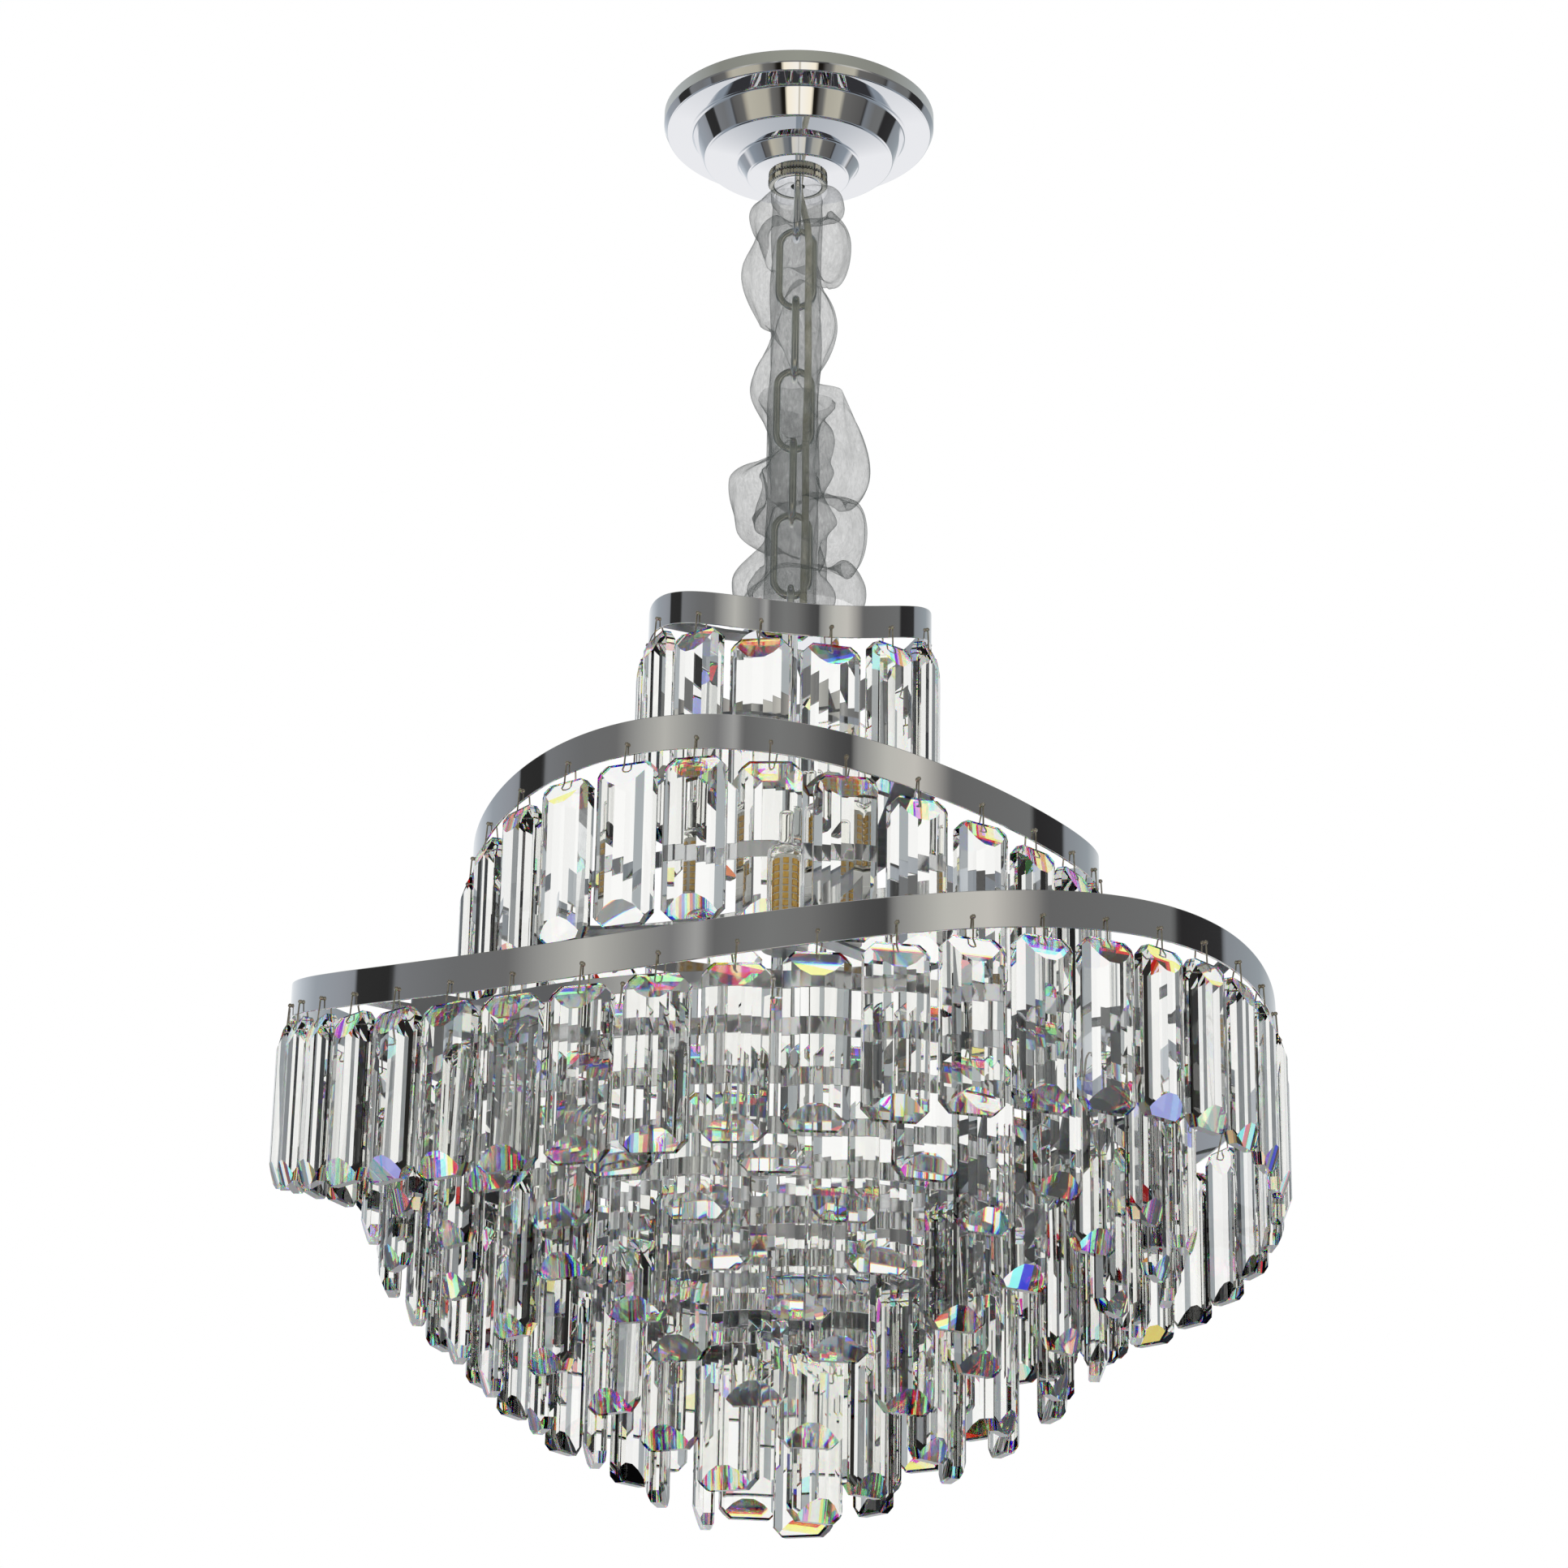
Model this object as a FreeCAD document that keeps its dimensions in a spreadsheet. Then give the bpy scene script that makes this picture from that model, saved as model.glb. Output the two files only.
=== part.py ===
import FreeCAD, Part
import math
import os
import re
import Sketcher

# Crystal chandelier. Millimetres, +Z up, origin at the middle of the ceiling face, and all of it hangs below.
# Angles round the vertical axis start at the side that faces the viewer (-Y) and grow towards +X.

Vector = FreeCAD.Vector
Placement = FreeCAD.Placement
Rotation = FreeCAD.Rotation
UP = Vector(0, 0, 1)

doc = FreeCAD.newDocument("crystal_chandelier")
sizes = doc.addObject("Spreadsheet::Sheet", "sizes")

DRIVING = (
    # Ceiling fixing
    ("strap_length", 110, "ceiling strap, tip to tip"),
    ("strap_width", 22, "ceiling strap, across"),
    ("strap_thick", 2.5, "ceiling strap, sheet"),
    ("slot_spacing", 80, "screw slots, middle to middle"),
    ("slot_length", 16, "screw slot, end to end"),
    ("slot_width", 5, "screw slot, across"),
    ("tube_radius", 5, "hollow threaded tube, outside"),
    ("tube_bore", 3.6, "hollow threaded tube, bore radius"),
    ("tube_length", 26, "hollow threaded tube"),
    ("thread_gap", 0.08, "running gap round a thread"),
    ("nut_flats", 17, "hexagon nuts, across flats"),
    ("nut_height", 5, "hexagon nuts, height"),
    ("block_length", 24, "wiring block, long side"),
    ("block_width", 16, "wiring block, short side"),
    ("block_height", 10, "wiring block, height"),
    ("block_reach", 30, "wiring block, from the axis"),
    # Canopy
    ("canopy_radius", 72, "widest lip"),
    ("canopy_lip", 9, "height of the lip"),
    ("step_radius", 57, "first step down"),
    ("step_drop", 19, "ceiling to the first flat"),
    ("neck_radius", 31, "second step down"),
    ("canopy_depth", 29, "ceiling to the lower flat"),
    ("canopy_sheet", 1.2, "canopy sheet"),
    ("canopy_round", 2.5, "softened corners of the steps"),
    # Screw collar and its lock ring
    ("collar_radius", 13, "threaded collar, outside"),
    ("collar_top", 19, "ceiling to the collar's top"),
    ("collar_drop", 41, "ceiling to the collar's foot"),
    ("collar_gap", 0.5, "canopy hole round the collar"),
    ("ring_radius", 16, "knurled lock ring, outside"),
    ("ring_height", 12, "knurled lock ring, height"),
    ("ring_groove", 1.2, "groove between its two knurled rims"),
    # Chain
    ("wire", 3.4, "chain wire diameter"),
    ("link_width", 21.6, "chain link, outside"),
    ("link_pitch", 40.8, "chain link, inside length"),
    ("loop_wire", 4, "loop wire diameter"),
    ("loop_width", 20, "collar and hub loops, outside"),
    ("link_seat", 0.05, "play where links bear on each other"),
    ("hub_drop", 292, "ceiling to the hub's top"),
    # Cable and sleeve
    ("cable_radius", 1.9, "supply cable"),
    ("sleeve_top", 44, "ceiling to the sleeve's top"),
    ("sleeve_foot", 284, "ceiling to the sleeve's foot"),
    ("sleeve_wall", 0.7, "gathered cloth"),
    # Hub, stem and collars
    ("hub_radius", 25, "hub plate"),
    ("hub_plate_height", 4, "hub plate"),
    ("hub_boss_radius", 11, "boss on the hub plate"),
    ("hub_boss_height", 5, "boss on the hub plate"),
    ("stem_radius", 4, "centre rod"),
    ("stem_gap", 0.05, "collar bores round the rod"),
    ("arm_collar_radius", 12, "collar that carries the middle arms"),
    ("arm_collar_drop", 450, "ceiling to that collar's top"),
    ("arm_collar_height", 10, "that collar"),
    ("rib_collar_radius", 9, "collar that carries the ribs"),
    ("end_nut_radius", 7.5, "domed nut below the ribs"),
    ("end_nut_height", 10, "domed nut below the ribs"),
    # Wavy bands. Each is a hoop of strip whose height waves twice round, and which leans a little
    ("band_height", 17, "wavy strip, height"),
    ("band_wall", 1.2, "wavy strip, wall"),
    ("band_1_radius", 72, "small hoop"),
    ("band_1_drop", 297, "ceiling to its mean top edge"),
    ("band_1_wave", 11.3, "half its wave"),
    ("band_1_crest", -79, "angle of its crest"),
    ("band_1_lift", 2.2, "half the rise from its low to its high side"),
    ("band_1_high", 55, "angle of its high side"),
    ("band_1_count", 13, "crystals round it"),
    ("band_1_first", -11.3, "angle of its first crystal"),
    ("band_2_radius", 155.5, "middle hoop"),
    ("band_2_drop", 406, "ceiling to its mean top edge"),
    ("band_2_wave", 17.3, "half its wave"),
    ("band_2_crest", -25.6, "angle of its crest"),
    ("band_2_lift", 4.1, "half the rise from its low to its high side"),
    ("band_2_high", 130.5, "angle of its high side"),
    ("band_2_count", 28, "crystals round it"),
    ("band_2_first", -2.9, "angle of its first crystal"),
    ("band_3_radius", 240, "large hoop"),
    ("band_3_drop", 506, "ceiling to its mean top edge"),
    ("band_3_wave", 24.7, "half its wave"),
    ("band_3_crest", 57.3, "angle of its crest"),
    ("band_3_lift", 8.5, "half the rise from its low to its high side"),
    ("band_3_high", -69.9, "angle of its high side"),
    ("band_3_count", 44, "crystals round it"),
    ("band_3_first", -13, "angle of its first crystal"),
    # Arms and ribs
    ("arm_width", 11, "flat arms, across"),
    ("arm_thick", 1.6, "flat arms, thickness"),
    ("hub_arm_level", 10, "arms of the small hoop, level length past the hub"),
    ("lamp_arm_first", 21.5, "angle of the middle hoop's first arm, which carries an upper lamp"),
    ("lamp_arm_level", 3, "arms of the middle hoop, level length past the plain hoop"),
    ("rib_arm_level", 6, "arms of the large hoop, level length past the ribs"),
    ("rib_thick", 2, "rib plates"),
    ("rib_depth", 12, "rib plates, least depth"),
    ("rib_end", 4, "rib plates, past the outermost hoop"),
    ("rib_seat", 3, "half of each flat that a hoop is welded to"),
    ("rib_count", 6, "ribs"),
    ("rib_first", 0, "angle of the first rib"),
    # Flat hoops of the lower cone
    ("hoop_height", 8, "flat hoops, height"),
    ("hoop_wall", 1, "flat hoops, wall"),
    ("plain_hoop_radius", 110, "hoop without crystals that stands on the middle hoop's arms"),
    # Crystals and hooks
    ("crystal_length", 77.6, "crystal, top to foot"),
    ("crystal_width", 29.4, "crystal, across"),
    ("crystal_front", 6.5, "front of the crystal, from its hanging line"),
    ("crystal_back", 3.5, "back of the crystal, from its hanging line"),
    ("crystal_edge", 1.8, "front of its side edges, from its hanging line"),
    ("crystal_flat", 10.5, "middle facet, across"),
    ("crystal_corner", 5, "cut corners"),
    ("crystal_bevel", 12, "half-moon end facets, height"),
    ("crystal_gap", 4.4, "strip's foot to the crystal's top, where the strip is level"),
    ("crystal_clear", 0.4, "least gap between a sloping strip and the crystal's top corner"),
    ("hook_hole", 5.2, "hole above the strip's foot"),
    ("hoop_hook_hole", 4, "hole above a flat hoop's foot"),
    ("hook_wire", 1.1, "hook pins"),
    ("hook_reach", 4.4, "crystal's top to the foot of its hook"),
    # Lamps
    ("holder_radius", 10.5, "lamp holder, outside"),
    ("holder_height", 12, "lamp holder"),
    ("holder_floor", 3, "lamp holder, floor"),
    ("bulb_cap_radius", 6.8, "bulb cap"),
    ("bulb_radius", 8.5, "bulb body"),
    ("bulb_length", 62, "bulb, end to end"),
    ("bulb_gap", 0.4, "holder bore round the cap"),
    ("low_lamp_gap", 14, "lower lamps' axes, out from the faces of the middle hoop's crystals"),
    ("low_lamp_rise", 14, "lower lamps' seats, above the outermost flat hoop"),
    ("low_lamp_count", 3, "lower lamps"),
    ("top_lamp_gap", 23.5, "arm collar to the upper lamps' holders"),
    ("top_lamp_count", 3, "upper lamps"),
)
# The lower cone's flat hoops: radius, ceiling to top edge, crystals, angle of the first crystal
HOOPS = (
    (195, 528, 18, -1.3),
    (187, 547, 18, 8.7),
    (172, 566, 15, -9.3),
    (152, 584, 13, 3.5),
    (136, 599, 12, 11),
    (113, 616, 10, -5),
    (86, 630, 8, 10.5),
    (56, 645, 5, -23),
    (33, 656, 3, 35),
)


def fill_sheet():
    rows = list(DRIVING)
    for number, (radius, drop, count, first) in enumerate(HOOPS, 1):
        rows.append(("hoop_%d_radius" % number, radius, "flat hoop, radius"))
        rows.append(("hoop_%d_drop" % number, drop, "ceiling to its top edge"))
        rows.append(("hoop_%d_count" % number, count, "crystals round it"))
        rows.append(("hoop_%d_first" % number, first, "angle of its first crystal"))
    for row, (alias, number, note) in enumerate(rows, 1):
        sizes.set("A%d" % row, note)
        sizes.set("B%d" % row, str(number))
        sizes.setAlias("B%d" % row, alias)
    doc.recompute()


fill_sheet()
HOOP_COUNT = len(HOOPS)
HOOP_FLAT_COUNT = 36
BANDS = (1, 2, 3)


def size(alias):
    return float(sizes.get(alias))


def linked(formula):
    """A formula in aliases, as an expression that reads the sheet."""
    return re.sub(r"[a-z]\w*", lambda word: "sizes." + word.group(0), formula)


def bind(thing, **formulas):
    for name, formula in formulas.items():
        thing.setExpression(name.replace("__", "."), linked(formula))
    return thing


def primitive(kind, name, **formulas):
    return bind(doc.addObject("Part::" + kind, name), **formulas)


def boolean(kind, name, base, tools):
    """A Part::Cut of base by each tool, or a Part::MultiFuse of them all."""
    if kind == "MultiFuse":
        fused = doc.addObject("Part::MultiFuse", name)
        fused.Shapes = [base] + tools
        return fused
    for number, tool in enumerate(tools, 1):
        last = number == len(tools)
        cut = doc.addObject("Part::Cut", name if last else "%s_cut_%d" % (name, number))
        cut.Base = base
        cut.Tool = tool
        base = cut
    return base


def turned(name, corners, **formulas):
    """A piece turned about the vertical axis, from the corners (out, up) of half its section."""
    body = doc.addObject("PartDesign::Body", name)
    sketch = body.newObject("Sketcher::SketchObject", name + "_section")
    plane = [feature for feature in body.Origin.OriginFeatures if feature.Role == "XZ_Plane"][0]
    sketch.AttachmentSupport = (plane, [""])
    sketch.MapMode = "FlatFace"
    count = len(corners)
    start = [Vector(30 + 10 * math.cos(2 * math.pi * i / count), 10 * math.sin(2 * math.pi * i / count), 0)
             for i in range(count)]
    for i in range(count):
        sketch.addGeometry(Part.LineSegment(start[i], start[(i + 1) % count]), False)
    for i in range(count):
        sketch.addConstraint(Sketcher.Constraint("Coincident", i, 2, (i + 1) % count, 1))
    for i, (out, up) in enumerate(corners):
        for kind, formula, place in (("DistanceX", out, start[i].x), ("DistanceY", up, start[i].y)):
            index = sketch.addConstraint(Sketcher.Constraint(kind, -1, 1, i, 1, place))
            label = "corner_%d_%s" % (i + 1, kind[-1].lower())
            sketch.renameConstraint(index, label)
            sketch.setExpression("Constraints." + label, linked(formula))
    turning = body.newObject("PartDesign::Revolution", name + "_turning")
    turning.Profile = sketch
    turning.ReferenceAxis = (sketch, ["V_Axis"])
    turning.Angle = 360
    bind(body, **formulas)
    return body


def modelled(name, shape):
    piece = doc.addObject("Part::Feature", name)
    piece.Shape = shape
    return piece


def round_place(radius, angle, height):
    """A point on a circle about the axis."""
    return Vector(radius * math.sin(angle), -radius * math.cos(angle), height)


def turn_by(angle):
    """Turns a piece made facing the viewer so that it faces out at the angle."""
    return Rotation(UP, math.degrees(angle))


def prism(corners, along):
    """A closed outline, pushed along a vector."""
    return Part.Face(Part.makePolygon(corners + corners[:1])).extrude(along)


# ---- Ceiling strap: a flat steel bar with two screw slots and a tapped middle hole
def ceiling_strap():
    bar = primitive("Box", "strap_bar", Length="strap_length", Width="strap_width", Height="strap_thick",
                    Placement__Base__x="-strap_length / 2", Placement__Base__y="-strap_width / 2",
                    Placement__Base__z="-strap_thick")
    hole = primitive("Cylinder", "strap_hole", Radius="tube_radius + thread_gap", Height="3 * strap_thick",
                     Placement__Base__z="-2 * strap_thick")
    tools = [hole]
    for side, sign in (("left", "-"), ("right", "")):
        middle = sign + "slot_spacing / 2"
        half = "(slot_length - slot_width) / 2"
        tools.append(primitive("Box", "slot_%s" % side, Length="slot_length - slot_width",
                               Width="slot_width", Height="3 * strap_thick",
                               Placement__Base__x=middle + " - " + half,
                               Placement__Base__y="-slot_width / 2", Placement__Base__z="-2 * strap_thick"))
        for end, step in (("in", " - "), ("out", " + ")):
            tools.append(primitive("Cylinder", "slot_%s_%s" % (side, end), Radius="slot_width / 2",
                                   Height="3 * strap_thick", Placement__Base__x=middle + step + half,
                                   Placement__Base__z="-2 * strap_thick"))
    return boolean("Cut", "mounting_strap", bar, tools)


# ---- Hexagon nut round the threaded tube
def hexagon_nut(name, top):
    blank = doc.addObject("Part::Prism", name + "_blank")
    blank.Polygon = 6
    bind(blank, Circumradius="nut_flats / 1.7320508", Height="nut_height",
         Placement__Base__z=top + " - nut_height")
    bore = primitive("Cylinder", name + "_bore", Radius="tube_radius + thread_gap",
                     Height="3 * nut_height", Placement__Base__z=top + " - 2 * nut_height")
    return boolean("Cut", name, blank, [bore])


# ---- Wire bends and sides, drawn with eight flats round the wire
def wire_bend(name, radius, wire, centre, upward):
    """Half a turn of wire in the XZ plane, about a point on the axis."""
    section = doc.addObject("Part::RegularPolygon", name + "_section")
    section.Polygon = 8
    bind(section, Circumradius=wire + " / 2", Placement__Base__x=radius, Placement__Base__z=centre)
    bend = doc.addObject("Part::Revolution", name)
    bend.Source = section
    bend.Axis = Vector(0, -1 if upward else 1, 0)
    bend.Angle = 180
    bend.Solid = True
    return bind(bend, Base__z=centre)


def wire_side(name, wire, out, foot, height):
    side = doc.addObject("Part::Prism", name)
    side.Polygon = 8
    return bind(side, Circumradius=wire + " / 2", Height=height, Placement__Base__x=out,
                Placement__Base__z=foot)


# ---- Oval chain link, standing up, its middle at the origin, flat in the XZ plane
def link(name, width, wire, pitch, **formulas):
    end_radius = "(%s - %s) / 2" % (width, wire)
    half_side = "((%s + %s) / 2 - %s)" % (pitch, wire, end_radius)
    parts = [wire_bend(name + "_top", end_radius, wire, half_side, True),
             wire_bend(name + "_foot", end_radius, wire, "-" + half_side, False)]
    for side, sign in (("left", "-"), ("right", "")):
        parts.append(wire_side("%s_%s" % (name, side), wire, sign + end_radius, "-" + half_side,
                               "2 * " + half_side))
    return bind(boolean("MultiFuse", name, parts[0], parts[1:]), **formulas)


# ---- Loop that hangs from a collar or stands on a hub: a half turn with two legs
def half_loop(name, bow, foot, hangs):
    """The bend's wire centre is at height bow, and its two legs end at height foot."""
    radius = "(loop_width - loop_wire) / 2"
    centre = "(%s %s %s)" % (bow, "+" if hangs else "-", radius)
    parts = [wire_bend(name + "_bend", radius, "loop_wire", centre, not hangs)]
    for side, sign in (("near", "-"), ("far", "")):
        parts.append(wire_side("%s_%s" % (name, side), "loop_wire", sign + radius,
                               centre if hangs else foot,
                               "%s - (%s)" % ((foot, centre) if hangs else (centre, foot))))
    return parts


CABLE_ROUTE = (
    (0, 0, -27), (0.4, -0.6, -44), (3.6, -2.8, -57), (6.6, -5.4, -72), (6.4, -5.6, -112),
    (7.2, -5.2, -150), (6.2, -5.8, -190), (7, -5.4, -228), (6.4, -5.6, -262), (6.6, -5.2, -291.7),
)


def cable():
    """The supply cable: straight runs joined by arcs that touch both, swept by its section of eight flats."""
    spots = [Vector(*spot) for spot in CABLE_ROUTE]
    edges = []
    start = spots[0]
    for before, spot, after in zip(spots, spots[1:], spots[2:]):
        back = (before - spot).normalize()
        ahead = (after - spot).normalize()
        turn = math.pi - back.getAngle(ahead)
        reach = 0.45 * min((before - spot).Length, (after - spot).Length)
        print("cable bend radius %.0f" % (reach / math.tan(turn / 2)))
        arc_start = spot + back * reach
        arc_end = spot + ahead * reach
        inward = (back + ahead).normalize()
        radius = reach / math.tan(turn / 2)
        centre = spot + inward * math.hypot(radius, reach)
        middle = centre - inward * radius
        edges.append(Part.LineSegment(start, arc_start).toShape())
        edges.append(Part.Arc(arc_start, middle, arc_end).toShape())
        start = arc_end
    edges.append(Part.LineSegment(start, spots[-1]).toShape())
    path = Part.Wire(edges)
    radius = size("cable_radius")
    facing = Rotation(UP, spots[1] - spots[0])
    turns = [i * math.pi / 4 for i in range(8)]
    corners = [spots[0] + facing.multVec(Vector(radius * math.cos(turn), radius * math.sin(turn), 0))
               for turn in turns]
    section = Part.makePolygon(corners + corners[:1])
    tube = path.makePipeShell([section], True, False)
    expected = Part.Face(section).Area * path.Length
    print("cable length %.1f, volume %.1f, section by length %.1f" % (path.Length, tube.Volume, expected))
    return tube


# The sleeve's rings from top to foot: share of its length, mean radius, fold depth, twist
SLEEVE_RINGS = ((0, 14, 1, 0), (0.1, 27, 6, 20), (0.22, 22, 5, 45), (0.38, 30, 6, 70), (0.55, 24, 5, 100),
                (0.72, 31, 6, 130), (0.88, 25, 5, 150), (1, 20, 3, 165))
SLEEVE_FOLD_COUNT = 6


def skin(before, after, faces):
    """Two flat triangles for each step between two closed rows of corners."""
    count = len(before)
    for i in range(count):
        j = (i + 1) % count
        for corners in ((before[i], before[j], after[j]), (before[i], after[j], after[i])):
            faces.append(Part.Face(Part.makePolygon(list(corners) + [corners[0]])))


def sleeve():
    """Gathered cloth round the chain: a fluted tube, its folds winding slowly round."""
    walls = []
    for wall in (0, size("sleeve_wall")):
        rows = []
        for share, radius, fold, twist in SLEEVE_RINGS:
            height = -size("sleeve_top") - share * (size("sleeve_foot") - size("sleeve_top"))
            corners = []
            for i in range(2 * SLEEVE_FOLD_COUNT):
                out = radius - wall + (fold / 2 if i % 2 else -fold / 2)
                angle = math.radians(twist) + math.pi * i / SLEEVE_FOLD_COUNT
                corners.append(round_place(out, angle, height))
            rows.append(corners)
        walls.append(rows)
    faces = []
    for rows in walls:
        for before, after in zip(rows, rows[1:]):
            skin(before, after, faces)
    outer, inner = walls
    skin(outer[0], inner[0], faces)
    skin(outer[-1], inner[-1], faces)
    solid = Part.Solid(Part.Shell(faces))
    if solid.Volume < 0:
        solid.reverse()
    return solid


def wave_height(band, angle):
    """Height of a wavy band's top edge."""
    name = "band_%d_" % band
    crest = math.radians(size(name + "crest"))
    high = math.radians(size(name + "high"))
    wave = size(name + "wave") * math.cos(2 * (angle - crest))
    return wave + size(name + "lift") * math.cos(angle - high) - size(name + "drop")


BAND_FLAT_COUNT = 60


def wavy_band(band):
    """A hoop of strip cut to a wave: flats that lean from one height of the wave to the next."""
    radius = size("band_%d_radius" % band)
    edges = [[], [], [], []]
    for i in range(BAND_FLAT_COUNT):
        angle = 2 * math.pi * i / BAND_FLAT_COUNT
        top = wave_height(band, angle)
        foot = top - size("band_height")
        corners = ((radius, top), (radius - size("band_wall"), top), (radius - size("band_wall"), foot),
                   (radius, foot))
        for edge, (out, up) in zip(edges, corners):
            edge.append(round_place(out, angle, up))
    faces = []
    for before, after in zip(edges, edges[1:] + edges[:1]):
        skin(before, after, faces)
    solid = Part.Solid(Part.Shell(faces))
    if solid.Volume < 0:
        solid.reverse()
    return solid


def crystal():
    """One hanging crystal: a flat-backed bar with three long front facets, cut corners and half-moon ends."""
    half = size("crystal_width") / 2
    flat = size("crystal_flat") / 2
    front = size("crystal_front")
    edge = size("crystal_edge")
    back = size("crystal_back")
    length = size("crystal_length")
    corner = size("crystal_corner")
    bevel = size("crystal_bevel")
    section = prism([Vector(-half, -edge, 0), Vector(-flat, -front, 0), Vector(flat, -front, 0),
                     Vector(half, -edge, 0), Vector(half, back, 0), Vector(-half, back, 0)], UP * -length)
    outline = prism([Vector(-half, -front, -corner), Vector(-half, -front, corner - length),
                     Vector(corner - half, -front, -length), Vector(half - corner, -front, -length),
                     Vector(half, -front, corner - length), Vector(half, -front, -corner),
                     Vector(half - corner, -front, 0), Vector(corner - half, -front, 0)],
                    Vector(0, front + back, 0))
    side = prism([Vector(-half, -edge, 0), Vector(-half, -front, -bevel),
                  Vector(-half, -front, bevel - length), Vector(-half, -edge, -length),
                  Vector(-half, back, -length), Vector(-half, back, 0)], Vector(2 * half, 0, 0))
    return section.common(outline).common(side)


def hook(hole, top):
    """One hook: a flat hairpin from the strip's hole down to the one in the crystal, whose top is given."""
    wire = size("hook_wire")
    depth = size("band_wall") + 2 * wire
    foot = top - size("hook_reach")
    return Part.makeBox(wire, depth, hole - foot, Vector(-wire / 2, -depth / 2, foot))


def hang_round(name, strip_foot, wall, hole, one_crystal):
    """The crystals round a hoop and their hooks. Under a sloping strip a crystal hangs clear of it."""
    radius = size(name + "radius") - wall / 2
    count = int(size(name + "count"))
    shoulder = size("crystal_width") / 2 - size("crystal_corner")
    crystals = []
    hooks = []
    for i in range(count):
        angle = math.radians(size(name + "first")) + 2 * math.pi * i / count
        foot = strip_foot(angle)
        fall = foot - min(strip_foot(angle - shoulder / radius), strip_foot(angle + shoulder / radius))
        gap = max(size("crystal_gap"), fall + size("crystal_clear"))
        hanging = Placement(round_place(radius, angle, foot), turn_by(angle))
        crystals.append(one_crystal.copy())
        crystals[-1].Placement = hanging * Placement(UP * -gap, Rotation())
        hooks.append(hook(hole, -gap))
        hooks[-1].Placement = hanging
    return crystals, hooks


def flat_hoop(name, radius, drop):
    """A hoop of narrow strip, rolled in short flats, with its radius and the drop of its top edge."""
    walls = []
    for part, across, height, foot in (
            ("rim", radius, "hoop_height", " - hoop_height"),
            ("core", radius + " - hoop_wall", "3 * hoop_height", " - 2 * hoop_height")):
        wall = doc.addObject("Part::Prism", name + "_" + part)
        wall.Polygon = HOOP_FLAT_COUNT
        walls.append(bind(wall, Circumradius=across, Height=height,
                          Placement__Base__z="-(" + drop + ")" + foot))
    return boolean("Cut", name, walls[0], [walls[1]])


def arm(spots, angle):
    """A flat arm bent through a row of spots (out, up) in the upright plane at an angle."""
    drop = size("arm_thick")
    side = Vector(math.cos(angle), math.sin(angle), 0) * size("arm_width")
    outline = list(spots) + [(out, up - drop) for out, up in reversed(spots)]
    return prism([round_place(out, angle, up) - side / 2 for out, up in outline], side)


def arms_to_band(band, count, first, near, flat):
    """Arms that leave level, as far as flat, and then climb or drop to the middle of a wavy strip."""
    arms = []
    for i in range(count):
        angle = math.radians(first) + 2 * math.pi * i / count
        middle = wave_height(band, angle) - size("band_height") / 2
        far = (size("band_%d_radius" % band) - size("band_wall"), middle)
        arms.append(arm((near, (flat, near[1]), far), angle))
    return Part.makeCompound(arms)


def low_lamp_reach():
    return size("band_2_radius") + size("crystal_front") + size("low_lamp_gap")


def low_lamp_seat():
    return size("low_lamp_rise") - size("hoop_1_drop")


def top_lamp_reach():
    return size("arm_collar_radius") + size("top_lamp_gap") + size("holder_radius")


def hoop_edge(number):
    return size("hoop_%d_radius" % number), -size("hoop_%d_drop" % number)


def rib_outer_end():
    radius, height = hoop_edge(1)
    return radius + size("rib_end"), height


def rib_plates():
    """Upright plates on the lower cone. A flat of their lower edges sits on each hoop, welded to it."""
    seat = size("rib_seat")
    depth = size("rib_depth")
    lower = [rib_outer_end()]
    for number in range(1, HOOP_COUNT + 1):
        radius, height = hoop_edge(number)
        if number > 1:
            lower.append((radius + seat, height))
        lower.append((radius - seat, height))
    last = hoop_edge(HOOP_COUNT)
    middle = hoop_edge(7)
    knee = hoop_edge(4)
    lamp = low_lamp_reach()
    lamp_seat = low_lamp_seat()
    half_seat = size("holder_radius")
    upper = [(size("rib_collar_radius"), last[1]), (size("rib_collar_radius"), last[1] + depth),
             (last[0], last[1] + depth), (middle[0], middle[1] + depth), (knee[0], knee[1] + depth),
             (lamp - half_seat, lamp_seat), (lamp + half_seat, lamp_seat),
             (hoop_edge(1)[0] - seat, hoop_edge(1)[1] + depth),
             (rib_outer_end()[0], rib_outer_end()[1] + depth)]
    plates = []
    thick = size("rib_thick")
    for i in range(int(size("rib_count"))):
        angle = math.radians(size("rib_first")) + 2 * math.pi * i / size("rib_count")
        side = Vector(math.cos(angle), math.sin(angle), 0)
        corners = [round_place(out, angle, up) - side * (thick / 2) for out, up in lower + upper]
        plates.append(prism(corners, side * thick))
    return Part.makeCompound(plates)


def lamp_places():
    """Where the lamp holders stand: the lower ones on the ribs, the upper ones on the collar's arms."""
    places = []
    for i in range(int(size("low_lamp_count"))):
        angle = math.radians(size("rib_first")) + 2 * math.pi * i / size("low_lamp_count")
        places.append(round_place(low_lamp_reach(), angle, low_lamp_seat()))
    for i in range(int(size("top_lamp_count"))):
        angle = math.radians(size("lamp_arm_first")) + 2 * math.pi * i / size("top_lamp_count")
        places.append(round_place(top_lamp_reach(), angle, -size("arm_collar_drop")))
    return places


pieces = []

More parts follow.
